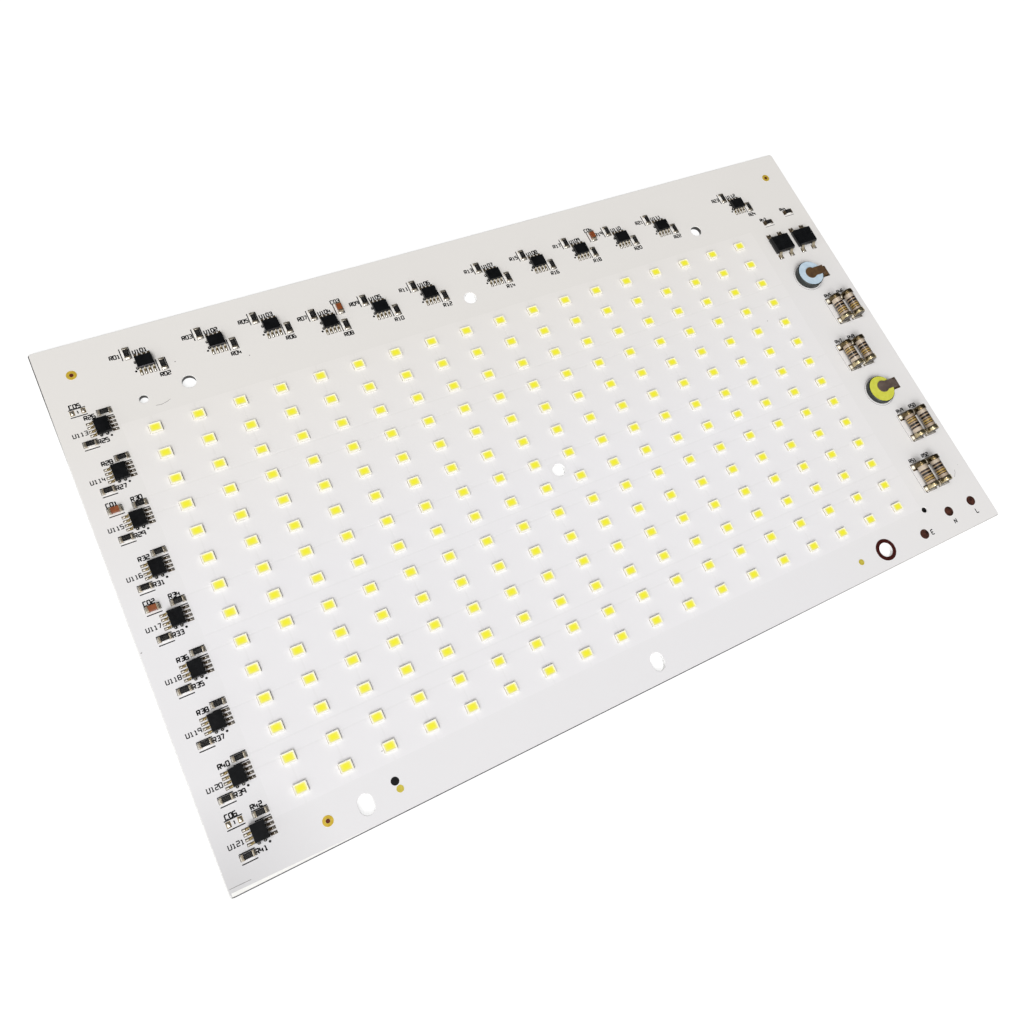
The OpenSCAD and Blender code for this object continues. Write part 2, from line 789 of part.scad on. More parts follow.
module resistor_coats() {
    color([0.13, 0.13, 0.14]) {
        for (place = concat(row_places, column_places)) at_resistors(place) chip_coat();
        for (place = input_chip_places) translate(place) rotate(90) chip_coat();
    }
}

module capacitor_bodies() {
    color([0.58, 0.34, 0.18])
        for (entry = fitted_capacitors) at_capacitor(entry) chip_ceramic(capacitor_height);
}

module capacitor_ends() {
    color("silver") for (entry = fitted_capacitors) at_capacitor(entry) chip_ends(capacitor_height);
}

module bridge_body(index) {
    color([0.12, 0.12, 0.12]) translate(bridge_places[index]) translate([0, 0, land_z + bridge_standoff])
        moulded_body(bridge_length, bridge_width, bridge_height, bridge_draft, bridge_lead_thickness);
}

module bridge_leads(index) {
    lead_height = bridge_standoff + (bridge_height - bridge_lead_thickness) / 2;
    color("silver") translate(bridge_places[index])
        for (turn = [0, 180], side = [-1, 1])
            rotate(turn) translate([side * bridge_pitch / 2, 0, land_z])
                gull_lead(bridge_width / 2, bridge_span, lead_height, bridge_foot,
                          bridge_lead_width, bridge_lead_thickness);
}

// Ceramic disc with chamfered edges
module varistor_disc(index) {
    radius = disc_d / 2;
    thickness = disc_thicknesses[index];
    color([0.2, 0.22, 0.22]) translate(disc_places[index]) translate([0, 0, land_z])
        rotate_extrude() polygon([
            [0, 0], [radius - disc_chamfer, 0], [radius, disc_chamfer],
            [radius, thickness - disc_chamfer], [radius - disc_chamfer, thickness], [0, thickness]
        ]);
}

module varistor_electrode(index) {
    color(index == 0 ? "lightblue" : [0.82, 0.82, 0.3])
        translate(disc_places[index]) translate([0, 0, land_z + disc_thicknesses[index]])
            cylinder(d = disc_d - 2 * electrode_rim, h = electrode_thickness);
}

// Keyhole strap, flat on the electrode and folded down to the board beside the disc
module varistor_strap(index) {
    seat = disc_thicknesses[index] + electrode_thickness;
    head_end = head_shifts[index] - strap_head_d / 2 - strap_clearance;
    color([0.4, 0.32, 0.27])
    translate(disc_places[index]) translate([0, strap_sides[index], land_z]) intersection() {
        linear_extrude(seat + strap_thickness) strap_plan(head_shifts[index]);
        rotate([90, 0, 0]) linear_extrude(2 * strap_tab, center = true)
            strap_fold(head_end, seat);
    }
}

// Strap from above: round head, neck and tab
module strap_plan(head_shift) {
    translate([head_shift, 0]) circle(d = strap_head_d);
    translate([head_shift, -strap_neck / 2]) square([strap_end - head_shift, strap_neck]);
    translate([strap_drop, -strap_tab / 2]) square([strap_end - strap_drop, strap_tab]);
}

// Strap from the side: seat on the disc, drop and foot
module strap_fold(head_end, seat) {
    drop_out = strap_drop + strap_thickness;
    top = seat + strap_thickness;
    polygon([
        [head_end, seat], [strap_drop, seat], [strap_drop, 0], [strap_end, 0],
        [strap_end, strap_thickness], [drop_out, strap_thickness], [drop_out, top], [head_end, top]
    ]);
}

// Puts its children at both resistors of a pair
module at_rods(place) {
    for (side = [-1, 1]) translate([place[0] + side * rod_step / 2, place[1], 0]) children();
}

// Turns a shape that is drawn about Z so that it lies along Y on its caps
module laid_on_caps() {
    translate([0, 0, rod_z]) rotate([90, 0, 0]) children();
}

module pair_rods(index) {
    color("tan") at_rods(pair_places[index]) laid_on_caps()
        cylinder(d = rod_d, h = rod_length - 2 * cap_end, center = true);
}

module pair_caps(index) {
    color("darkgoldenrod") at_rods(pair_places[index]) laid_on_caps()
        for (turn = [0, 180]) rotate([turn, 0, 0]) rod_cap();
}

// Pressed cap over one end of a rod
module rod_cap() {
    outer = cap_d / 2;
    inner = rod_d / 2;
    end = rod_length / 2;
    rotate_extrude() polygon([
        [0, end - cap_end], [inner, end - cap_end], [inner, end - cap_length], [outer, end - cap_length],
        [outer, end - cap_chamfer], [outer - cap_chamfer, end], [0, end]
    ]);
}

aluminium_base();
white_face();
terminal_lands();
earth_ring();
guide_rings();
guide_dots();
empty_lands();
driver_lands();
chip_lands();
power_lands();
led_bodies(1);  // led_bodies_1
led_bodies(2);  // led_bodies_2
led_bodies(3);  // led_bodies_3
led_bodies(4);  // led_bodies_4
led_bodies(5);  // led_bodies_5
led_bodies(6);  // led_bodies_6
led_bodies(7);  // led_bodies_7
led_fills(1);  // led_fills_1
led_fills(2);  // led_fills_2
led_fills(3);  // led_fills_3
led_fills(4);  // led_fills_4
led_fills(5);  // led_fills_5
led_fills(6);  // led_fills_6
led_fills(7);  // led_fills_7
led_terminals(1);  // led_terminals_1
led_terminals(2);  // led_terminals_2
led_terminals(3);  // led_terminals_3
led_terminals(4);  // led_terminals_4
led_terminals(5);  // led_terminals_5
led_terminals(6);  // led_terminals_6
led_terminals(7);  // led_terminals_7
driver_bodies(row_places);  // row_driver_bodies
driver_leads(row_places);  // row_driver_leads
driver_bodies(column_places);  // column_driver_bodies
driver_leads(column_places);  // column_driver_leads
row_resistor_chips();
row_resistor_ends();
column_resistor_chips();
column_resistor_ends();
resistor_coats();
capacitor_bodies();
capacitor_ends();
bridge_body(0);  // bridge_1_body
bridge_leads(0);  // bridge_1_leads
bridge_body(1);  // bridge_2_body
bridge_leads(1);  // bridge_2_leads
varistor_disc(0);  // varistor_1_disc
varistor_electrode(0);  // varistor_1_electrode
varistor_strap(0);  // varistor_1_strap
varistor_disc(1);  // varistor_2_disc
varistor_electrode(1);  // varistor_2_electrode
varistor_strap(1);  // varistor_2_strap
pair_rods(0);  // pair_1_rods
pair_caps(0);  // pair_1_caps
pair_rods(1);  // pair_2_rods
pair_caps(1);  // pair_2_caps
pair_rods(2);  // pair_3_rods
pair_caps(2);  // pair_3_caps
pair_rods(3);  // pair_4_rods
pair_caps(3);  // pair_4_caps
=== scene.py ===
import math

import bmesh
import bpy
from mathutils import Matrix, Vector


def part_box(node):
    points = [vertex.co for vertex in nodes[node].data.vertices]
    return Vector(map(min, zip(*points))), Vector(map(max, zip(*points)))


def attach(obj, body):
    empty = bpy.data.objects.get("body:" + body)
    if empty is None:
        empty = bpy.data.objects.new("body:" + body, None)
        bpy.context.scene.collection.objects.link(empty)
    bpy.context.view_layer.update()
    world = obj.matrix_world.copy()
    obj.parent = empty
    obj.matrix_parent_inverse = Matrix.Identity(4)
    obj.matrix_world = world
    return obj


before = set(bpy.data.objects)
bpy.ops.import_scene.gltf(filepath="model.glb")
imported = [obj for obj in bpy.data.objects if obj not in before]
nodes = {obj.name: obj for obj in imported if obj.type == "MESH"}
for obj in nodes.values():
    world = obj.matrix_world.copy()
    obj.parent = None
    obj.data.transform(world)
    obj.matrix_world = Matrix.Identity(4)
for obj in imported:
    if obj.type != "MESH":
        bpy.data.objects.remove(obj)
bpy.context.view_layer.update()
scene = bpy.context.scene
scene.view_settings.view_transform = "Standard"
mm = 0.001


# small helpers

def srgb(red, green, blue):
    def toLinear(value):
        value = value / 255
        return value / 12.92 if value <= 0.04045 else ((value + 0.055) / 1.055) ** 2.4
    return (toLinear(red), toLinear(green), toLinear(blue), 1.0)


def solidBoxes(name):
    # box of every separate solid of a CAD node, in millimetres
    mesh = nodes[name].data
    keys = [tuple(round(c * 1e6) for c in v.co) for v in mesh.vertices]
    parent = {key: key for key in keys}

    def root(key):
        while parent[key] != key:
            parent[key] = parent[parent[key]]
            key = parent[key]
        return key

    for face in mesh.polygons:
        first = root(keys[face.vertices[0]])
        for corner in face.vertices[1:]:
            parent[root(keys[corner])] = first
    groups = {}
    for key in set(keys):
        groups.setdefault(root(key), []).append(key)
    boxes = []
    for points in groups.values():
        low = Vector([min(p[i] for p in points) for i in range(3)]) * 1e-3
        high = Vector([max(p[i] for p in points) for i in range(3)]) * 1e-3
        boxes.append((low, high))
    return sorted(boxes, key=lambda box: (round(box[0].x, 2), -box[0].y))


def nodeBox(name):
    # box of a whole CAD node, in millimetres
    return [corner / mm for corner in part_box(name)]


def middle(box):
    return (box[0] + box[1]) / 2


def nearest(boxes, at):
    # the boxes in order of their distance
    return sorted(boxes, key=lambda box: (middle(box) - at).length)


def meshFrom(name, points, faces=(), edges=(), unit=mm):
    mesh = bpy.data.meshes.new(name)
    mesh.from_pydata([Vector(p) * unit for p in points], edges, faces)
    mesh.update()
    return mesh


def newObject(name, data):
    thing = bpy.data.objects.new(name, data)
    scene.collection.objects.link(thing)
    return thing


def addPiece(name, mesh, look):
    piece = newObject(name, mesh)
    mesh.materials.clear()
    mesh.materials.append(materialOf(look))
    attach(piece, "root")


def dress(name, look, edge=0.0, segments=2, angle=35):
    # gives a node its look, merges its loose triangles and rounds its hard edges, in mm
    node = nodes[name]
    material = materialOf(look)
    if not node.material_slots:
        node.data.materials.append(material)
    for slot in node.material_slots:
        slot.material = material
    if edge:
        weld = node.modifiers.new("weld", "WELD")
        weld.merge_threshold = 1e-7
        bevel = node.modifiers.new("round", "BEVEL")
        bevel.width = edge * mm
        bevel.segments = segments
        bevel.limit_method = "ANGLE"
        bevel.angle_limit = math.radians(angle)


# node trees and materials

class Nodes:
    # adds nodes to one tree; each value may be a socket or fixed
    def __init__(self, tree):
        self.tree = tree

    def feed(self, socket, source):
        if isinstance(source, bpy.types.NodeSocket):
            self.tree.links.new(source, socket)
        else:
            socket.default_value = source

    def add(self, kind, links=None, **values):
        node = self.tree.nodes.new(kind)
        for key, value in values.items():
            setattr(node, key, value)
        for socket, source in (links or {}).items():
            self.feed(node.inputs[socket], source)
        return node

    def math(self, operation, first, second=0.0):
        return self.add("ShaderNodeMath", {0: first, 1: second}, operation=operation).outputs[0]

    def minus(self, first, second):
        return self.math("SUBTRACT", first, second)

    def times(self, first, *others):
        for other in others:
            first = self.math("MULTIPLY", first, other)
        return first

    def over(self, value, limit):
        return self.math("GREATER_THAN", value, limit)

    def under(self, value, limit):
        return self.math("LESS_THAN", value, limit)

    def vector(self, operation, first, second):
        return self.add("ShaderNodeVectorMath", {0: first, 1: second}, operation=operation).outputs["Value"]

    def scaled(self, vector, share):
        return self.add("ShaderNodeVectorMath", {0: vector, "Scale": share}, operation="SCALE").outputs[0]

    def span(self, value, start, stop, first, last, **values):
        links = {"Value": value, "From Min": start, "From Max": stop, "To Min": first, "To Max": last}
        return self.add("ShaderNodeMapRange", links, **values).outputs["Result"]

    def uneven(self, noise, low, high):
        # noise lies mostly between these two levels
        return self.span(noise, 0.3, 0.7, low, high)

    def mix(self, factor, first, second):
        # a mix of two colours
        links = {"Factor": factor, 6: first, 7: second}
        return self.add("ShaderNodeMix", links, data_type="RGBA").outputs[2]

    def ramp(self, factor, stops, smooth="LINEAR"):
        ramp = self.add("ShaderNodeValToRGB", {"Fac": factor})
        ramp.color_ramp.interpolation = smooth
        elements = ramp.color_ramp.elements
        while len(elements) < len(stops):
            elements.new(0.5)
        for element, (at, colour) in zip(elements, stops):
            element.position = at
            element.color = colour
        return ramp.outputs["Color"]

    def bump(self, height, depth):
        # depth is the real height of the relief in millimetres
        links = {"Height": height, "Distance": depth * mm, "Strength": 1.0}
        return self.add("ShaderNodeBump", links).outputs["Normal"]


class Surface(Nodes):
    # a material, with the place on the object and its axes in millimetres
    def __init__(self, name, **sockets):
        self.material = bpy.data.materials.new(name)
        self.material.use_nodes = True
        super().__init__(self.material.node_tree)
        self.shader = self.tree.nodes["Principled BSDF"]
        self.place = self.add("ShaderNodeTexCoord").outputs["Object"]
        self.spot = self.scaled(self.place, 1 / mm)
        axes = self.add("ShaderNodeSeparateXYZ", {"Vector": self.spot})
        self.x, self.y, self.z = [axes.outputs[axis] for axis in "XYZ"]
        self.put(**sockets)

    def put(self, **sockets):
        for key, source in sockets.items():
            self.feed(self.shader.inputs[key.replace("_", " ")], source)

    def apart(self, x, y):
        return self.vector("DISTANCE", self.spot, (x, y, 0.0))

    def noise(self, scale, detail=3, roughness=0.55, stretch=None):
        # scale is in repeats per millimetre
        place = self.place
        if stretch:
            place = self.add("ShaderNodeMapping", {"Vector": place, "Scale": stretch}).outputs[0]
        links = {"Vector": place, "Scale": scale / mm, "Detail": detail, "Roughness": roughness}
        return self.add("ShaderNodeTexNoise", links).outputs["Fac"]

    def skin(self, base, gloss, rough, grain, relief):
        self.put(Base_Color=base, Roughness=self.uneven(gloss, *rough), Normal=self.bump(grain, relief))
        return self.material

    def change(self, where, tone, metal):
        # another tone and metalness where the factor is one
        base = self.shader.inputs["Base Color"].links[0].from_socket
        before = self.shader.inputs["Metallic"].default_value
        self.put(Base_Color=self.mix(where, base, tone), Metallic=self.span(where, 0.0, 1.0, before, metal))
        return self.material


plainLook = {
    "stops": (0.32, 0.68),  # levels of the drift where the tones are full
    "gloss": 2.3,  # scale of the gloss, by that of the drift
    "metal": 0.0,
    "specular": 0.5,
    "rough": (0.35, 0.55),
    "grain": 4.0,  # repeats per millimetre
    "relief": 0.003,  # mm
}


def toned(name, dark, pale, **changes):
    return dict(plainLook, name=name, tones=(dark, pale), **changes)


def mottled(look):
    # two tones that drift over the surface, uneven gloss and a fine grain
    s = Surface(look["name"], Metallic=look["metal"], Specular_IOR_Level=look["specular"])
    tones = [(at, srgb(*tone)) for at, tone in zip(look["stops"], look["tones"])]
    gloss = s.noise(look["drift"] * look["gloss"], detail=3, roughness=0.5)
    base = s.ramp(s.noise(look["drift"], detail=4, roughness=0.6), tones)
    s.skin(base, gloss, look["rough"], s.noise(look["grain"], detail=2, roughness=0.5), look["relief"])
    return s


def materialOf(look):
    # a look is a finished material, or a dictionary that is made into one once
    if isinstance(look, dict):
        return bpy.data.materials.get(look["name"]) or mottled(look).material
    return look


# geometry node trees

def newTree(name, inputs):
    # every tree takes a seed mesh and a material
    tree = bpy.data.node_groups.new(name, "GeometryNodeTree")
    for label, kind in {"Geometry": "Geometry", **inputs, "Material": "Material"}.items():
        tree.interface.new_socket(label, in_out="INPUT", socket_type="NodeSocket" + kind)
    tree.interface.new_socket("Geometry", in_out="OUTPUT", socket_type="NodeSocketGeometry")
    return Nodes(tree), tree.nodes.new("NodeGroupInput").outputs


def closeTree(n, start, geometry):
    # every tree ends in plain geometry with its material set
    solid = n.add("GeometryNodeRealizeInstances", {"Geometry": geometry}).outputs[0]
    done = n.add("GeometryNodeSetMaterial", {"Geometry": solid, "Material": start["Material"]}).outputs[0]
    n.add("NodeGroupOutput", {"Geometry": done})
    return n.tree


def copyTree():
    # one shape on every point, turned and sized by the point's own attributes
    sizes = {"Length": "Float", "Width": "Float", "Height": "Float"}
    n, start = newTree("copiesOnPoints", {"Shape": "Object", **sizes})
    shape = n.add("GeometryNodeObjectInfo", {"Object": start["Shape"]}).outputs["Geometry"]
    turn, share = [n.add("GeometryNodeInputNamedAttribute", {"Name": name}, data_type="FLOAT").outputs[0]
                   for name in ("turn", "share")]
    spin = n.add("ShaderNodeCombineXYZ", {"Z": turn}).outputs[0]
    links = {axis: start[label] for axis, label in zip("XYZ", sizes)}
    size = n.scaled(n.add("ShaderNodeCombineXYZ", links).outputs[0], share)
    links = {"Points": start["Geometry"], "Instance": shape, "Rotation": spin, "Scale": size}
    return closeTree(n, start, n.add("GeometryNodeInstanceOnPoints", links).outputs[0])


def strokeTree():
    # a flat ink line along every edge path, with rounded corners
    n, start = newTree("inkStrokes", {"Pen Width": "Float", "Ink Height": "Float", "Corner Radius": "Float"})
    path = n.add("GeometryNodeMeshToCurve", {"Mesh": start["Geometry"]}).outputs[0]
    level = n.add("GeometryNodeSetCurveNormal", {"Curve": path}, mode="Z_UP").outputs[0]
    links = {"Curve": level, "Radius": start["Corner Radius"], "Count": 2, "Limit Radius": True}
    rounded = n.add("GeometryNodeFilletCurve", links, mode="POLY").outputs[0]
    links = {"Width": start["Pen Width"], "Height": start["Ink Height"]}
    pen = n.add("GeometryNodeCurvePrimitiveQuadrilateral", links).outputs[0]
    links = {"Curve": rounded, "Profile Curve": pen, "Fill Caps": True}
    return closeTree(n, start, n.add("GeometryNodeCurveToMesh", links).outputs[0])


def raiseTree():
    # lifts every seed face into a shallow island
    n, start = newTree("raisedIslands", {"Island Height": "Float"})
    links = {"Mesh": start["Geometry"], "Offset Scale": start["Island Height"], "Individual": True}
    return closeTree(n, start, n.add("GeometryNodeExtrudeMesh", links, mode="FACES").outputs["Mesh"])


def growPiece(name, tree, seedMesh, settings, look):
    # runs a tree on a seed mesh and keeps the result as a plain mesh; numbers are millimetres
    seed = newObject(name + "Seed", seedMesh)
    modifier = seed.modifiers.new("grow", "NODES")
    modifier.node_group = tree
    sockets = {s.name: s.identifier for s in tree.interface.items_tree if s.in_out == "INPUT"}
    for label, value in dict(settings, Material=materialOf(look)).items():
        modifier[sockets[label]] = value * mm if isinstance(value, float) else value
    bpy.context.view_layer.update()
    evaluated = seed.evaluated_get(bpy.context.evaluated_depsgraph_get())
    mesh = bpy.data.meshes.new_from_object(evaluated)
    mesh.name = name
    seed.modifiers.clear()
    bpy.data.objects.remove(seed)
    addPiece(name, mesh, look)


def spread(name, shape, size, places, look):
    # copies of a unit shape; places are (x, y, z, turn, share of the size)
    mesh = meshFrom(name + "Points", [place[:3] for place in places])
    for label, column in (("turn", 3), ("share", 4)):
        values = mesh.attributes.new(label, "FLOAT", "POINT").data
        for index, place in enumerate(places):
            values[index].value = place[column]
    settings = dict(zip(("Length", "Width", "Height"), size), Shape=shape)
    growPiece(name, copiesOnPoints, mesh, settings, look)
    bpy.data.objects.remove(shape)
    print(name + ":", len(places))


copiesOnPoints = copyTree()
inkStrokes = strokeTree()
raisedIslands = raiseTree()


# places read from the frame

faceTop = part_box("white_face")[1].z / mm
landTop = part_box("terminal_lands")[1].z / mm
rowDrivers = solidBoxes("row_driver_bodies")
columnDrivers = sorted(solidBoxes("column_driver_bodies"), key=lambda box: -box[0].y)
rowResistors = solidBoxes("row_resistor_chips")
columnResistors = sorted(solidBoxes("column_resistor_chips"), key=lambda box: -box[0].y)
capacitors = solidBoxes("capacitor_bodies")
emptyLands = solidBoxes("empty_lands")
ledStrings = range(1, 8)
ledBoxes = [box for s in ledStrings for box in solidBoxes(f"led_bodies_{s}")]
pairNumbers = range(1, 5)
rodBoxes = {p: solidBoxes(f"pair_{p}_rods") for p in pairNumbers}
print("frame read:", len(ledBoxes), "LEDs,", len(rowDrivers) + len(columnDrivers), "drivers")


# board

maskLook = {
    "laminate": (0.80, 0.803, 0.80, 1.0),
    "copper": (0.82, 0.822, 0.822, 1.0),
    # painted light: a cool tint where most light falls, a warm tint towards the top and right where less
    # falls, and a slight brightening to the right
    "paintedCoolLight": (1.046, 1.032, 1.05),
    "paintedWarmLight": (1.012, 0.982, 0.948),
    "paintedWarmUp": (-10.0, 50.0, 0.0, 1.0),  # from and to, mm, and the shares there
    "paintedWarmSide": (60.0, 115.0, 0.0, 0.5),
    "paintedBrightening": (-90.0, 130.0, 1.0, 1.008),
    "corner": (-135.0, -80.5, 30.0, 0.8),  # shaded corner, its reach and its tone
    "cloud": 0.011,  # repeats per millimetre
    "cloudTone": (0.985, 1.0),
    "orangePeel": 0.9,
    "peelDepth": 0.004,  # mm
    "rough": (0.30, 0.42),
    "specular": 0.35,
    "speckScale": 0.16,
    "speckPick": (0.985, 0.028),  # how rare and how large, by share of a cell
    "speckTone": (0.55, 0.53, 0.51, 1.0),
}


def whiteMask(name, tone):
    s = Surface(name, Specular_IOR_Level=maskLook["specular"])
    # painted light and shade on the mask: cool to warm towards the top and right, a slight brightening to
    # the right and a shaded lower left corner; the cloud is uneven tone
    paintedCoolLight, paintedWarmLight = [tuple(c * f for c, f in zip(tone, maskLook[key])) + (1.0,) for key in ("paintedCoolLight", "paintedWarmLight")]
    paintedWarmShare = s.math("MAXIMUM", s.span(s.y, *maskLook["paintedWarmUp"]), s.span(s.x, *maskLook["paintedWarmSide"]))
    x, y, reach, shade = maskLook["corner"]
    corner = s.span(s.apart(x, y), 0.0, reach, shade, 1.0)
    cloud = s.uneven(s.noise(maskLook["cloud"], detail=3, roughness=0.5), *maskLook["cloudTone"])
    level = s.times(s.span(s.x, *maskLook["paintedBrightening"]), corner, cloud)
    base = s.scaled(s.mix(paintedWarmShare, paintedCoolLight, paintedWarmLight), level)
    links = {"Vector": s.place, "Scale": maskLook["speckScale"] / mm, "Randomness": 1.0}
    cells = s.add("ShaderNodeTexVoronoi", links)
    pick = s.add("ShaderNodeSeparateColor", {"Color": cells.outputs["Color"]}).outputs[0]
    rare, size = maskLook["speckPick"]
    speck = s.times(s.over(pick, rare), s.under(cells.outputs["Distance"], size))
    peel = s.noise(maskLook["orangePeel"], detail=2, roughness=0.5)
    base = s.mix(speck, base, maskLook["speckTone"])
    return s.skin(base, peel, maskLook["rough"], peel, maskLook["peelDepth"])


aluminiumLook = {
    "rim": srgb(238, 238, 236),
    "rimFrom": 0.97,  # share of the thickness
    # dark tone of the walls; in the holes and along the left edge it stands in for shade
    "wall": srgb(66, 64, 62),
    "wallFrom": 0.02,
    "back": srgb(176, 177, 179),
    "paintedEdgeShade": srgb(84, 83, 84),  # painted shade along the lower edge of the board
    "edgeShadeFaded": srgb(204, 203, 200),
    "edgeShadeFade": (25.0, 100.0, 0.0, 1.0),  # mm along the board and the shares there
    "edgeShadeLine": -80.18,  # mm
    "metal": (0.96, 0.98, 0.6, 0.05),  # walls and back, and the rim
    "pale": srgb(248, 248, 247),  # walls of the holes that catch the light
    "paleField": (128.0, 79.0),
    "darkHoles": (45.0, 40.0),  # above this line and this far out, the hole walls keep the dark wall tone as a painted shade
    # the small hole, whose walls keep the painted shade
    "darkSpot": (108.2, -68.0, 2.5),
    "leftEdge": (-134.7, 42.0, 66.0),  # its line, and where the painted shade along it fades in
    "grain": 0.5,
    "rolling": (0.12, 6.0, 6.0),
    "streak": (0.86, 1.08),
    "relief": 0.004,
    "rough": (0.38, 0.55),
}


def rolledAluminium():
    look = aluminiumLook
    s = Surface("rolledAluminium")
    level = s.span(s.z, 0.0, nodeBox("aluminium_base")[1].z, 0.0, 1.0)
    stops = [(0.0, look["back"]), (look["wallFrom"], look["wall"]), (look["rimFrom"], look["rim"])]
    # painted shade along the lower edge, fading out along the board
    edgeShade = s.mix(s.span(s.x, *look["edgeShadeFade"]), look["paintedEdgeShade"], look["edgeShadeFaded"])
    tone = s.mix(s.under(s.y, look["edgeShadeLine"]), s.ramp(level, stops, "CONSTANT"), edgeShade)
    wide, tall = s.math("ABSOLUTE", s.x), s.math("ABSOLUTE", s.y)
    reach, height = look["paleField"]
    # holes that keep the dark wall tone as a painted shade
    line, out = look["darkHoles"]
    x, y, radius = look["darkSpot"]
    dark = s.times(s.over(s.y, line), s.over(wide, out))
    dark = s.math("MAXIMUM", dark, s.under(s.apart(x, y), radius))
    inside = s.times(s.under(wide, reach), s.under(tall, height))
    pale = s.times(inside, s.over(level, look["wallFrom"]), s.minus(1.0, dark))
    # painted shade along the left edge, growing towards the top
    side, start, stop = look["leftEdge"]
    left = s.times(s.under(s.x, side), s.span(s.y, start, stop, 0.0, 1.0))
    tone = s.mix(left, s.mix(pale, tone, look["pale"]), look["wall"])
    grain = s.noise(look["grain"], detail=4, roughness=0.6, stretch=look["rolling"])
    s.put(Metallic=s.times(s.span(level, *look["metal"]), s.minus(1.0, pale)))
    base = s.scaled(tone, s.uneven(grain, *look["streak"]))
    return s.skin(base, grain, look["rough"], grain, look["relief"])


traceIslands = {
    "breaks": (51.2, 27.5, 22.1, -3.4, -15.8, -20.2, -36.8, -49.6, -53.8, -67.4),  # mm across the board
    "narrow": 6.0,  # a band under this width is one long strip
    "gap": 0.5,
    "side": 8.5,  # copper past the outer columns
    "hole": (-5.2, -8.1, 3.0),  # middle screw hole and the room left round it
    "height": 0.02,
}


def buildBoard():
    dress("aluminium_base", rolledAluminium())
    dress("white_face", whiteMask("whiteMaskOnLaminate", maskLook["laminate"]))
    columns = sorted({round(middle(box).x, 2) for box in ledBoxes})
    ends = [columns[0] - traceIslands["side"], columns[-1] + traceIslands["side"]]
    half = traceIslands["gap"] / 2
    holeX, holeY, room = traceIslands["hole"]
    points, faces = [], []

    def island(x0, y0, x1, y1):
        first = len(points)
        points.extend([(x0, y0, faceTop), (x1, y0, faceTop), (x1, y1, faceTop), (x0, y1, faceTop)])
        faces.append((first, first + 1, first + 2, first + 3))

    for upper, lower in zip(traceIslands["breaks"], traceIslands["breaks"][1:]):
        cuts = ends if upper - lower < traceIslands["narrow"] else [ends[0]] + columns + [ends[1]]
        for start, stop in zip(cuts, cuts[1:]):
            x0, y0, x1, y1 = start + half, lower + half, stop - half, upper - half
            if start < holeX < stop and lower < holeY < upper:
                island(x0, y0, holeX - room, y1)
                island(holeX + room, y0, x1, y1)
                island(holeX - room, y0, holeX + room, holeY - room)
                island(holeX - room, holeY + room, holeX + room, y1)
            else:
                island(x0, y0, x1, y1)
    mask = whiteMask("whiteMaskOnCopper", maskLook["copper"])
    seedMesh = meshFrom("traceSeed", points, faces)
    settings = {"Island Height": traceIslands["height"]}
    growPiece("trace_relief", raisedIslands, seedMesh, settings, mask)
    print("board: face, base and", len(faces), "trace islands")


buildBoard()


# bare lands

terminalLook = toned("brownedCopper", (32, 21, 19), (112, 66, 53), metal=0.5, drift=0.7, rough=(0.35, 0.6))
earthLook = toned("maroonCopper", (62, 17, 13), (84, 26, 20), metal=0.4, drift=0.6)
eyeLook = toned("redCopper", (84, 30, 12), (112, 46, 18), metal=0.3, drift=1.2)
dotLook = toned("paleGold", (198, 180, 56), (226, 210, 92), metal=0.2, drift=1.2, rough=(0.3, 0.5))
goldLook = toned("goldFlash", (206, 172, 44), (230, 200, 78), metal=0.3, drift=1.1, rough=(0.3, 0.45),
                 grain=5.0, relief=0.002)
emptyLook = toned("tarnishedLand", (120, 92, 40), (196, 168, 92), metal=0.5, drift=0.9, rough=(0.25, 0.45))
solderLook = toned("brightSolder", (206, 200, 188), (240, 236, 226), metal=1.0, drift=0.8,
                   rough=(0.22, 0.36), grain=2.4, relief=0.004)
fluxLook = toned("fluxedLand", (62, 46, 32), (104, 84, 58), metal=0.5, drift=0.9, rough=(0.3, 0.5))
landStyle = {
    "rowStep": 8.0,  # mm past the last driver of the upper line
    "rowReach": 3.35,
    "saddleFrom": 0.03,
    # dark tone of the saddles, and the pale tone of their painted highlight
    "saddle": (srgb(92, 77, 54), srgb(244, 238, 220)),
    "paintedHighlight": (0.3, 0.85, 1.0, 0.0),  # half length of the painted highlight, full and faded
    "highlightFoot": (0.02, 0.16, 0.0, 1.0),
    "highlightTop": (0.5, 0.78, 1.0, 0.0),
    "saddleGrain": 0.45,
    "saddleRelief": 0.2,
}


def rowLine(s):
    # the line that the drivers of the row lie on, which steps down once
    lines = sorted({round(middle(box).y, 3) for box in rowDrivers})
    raised = [middle(box).x for box in rowDrivers if middle(box).y > lines[0] + 1]
    return s.span(s.under(s.x, max(raised) + landStyle["rowStep"]), 0.0, 1.0, lines[0], lines[-1])


def driverLand():
    # the mask covers the far ends of the lands above each driver of the row
    s = mottled(dict(fluxLook, name="driverLand"))
    covered = s.over(s.minus(s.y, rowLine(s)), landStyle["rowReach"])
    return s.change(covered, maskLook["laminate"], 0.0)


def powerLand():
    # painted highlight in the middles of the saddles under the caps
    s = mottled(dict(fluxLook, name="powerLand", grain=landStyle["saddleGrain"],
                     relief=landStyle["saddleRelief"]))
    high = s.minus(s.z, landTop)
    lines = {round(middle(box).y, 2) for pair in pairNumbers for box in solidBoxes(f"pair_{pair}_caps")}
    near = 1 / mm
    for line in sorted(lines):
        near = s.math("MINIMUM", near, s.math("ABSOLUTE", s.minus(s.y, line)))
    foot, top = s.span(high, *landStyle["highlightFoot"]), s.span(high, *landStyle["highlightTop"])
    paintedHighlight = s.times(s.span(near, *landStyle["paintedHighlight"]), foot, top)
    return s.change(s.over(high, landStyle["saddleFrom"]), s.mix(paintedHighlight, *landStyle["saddle"]), 1.0)


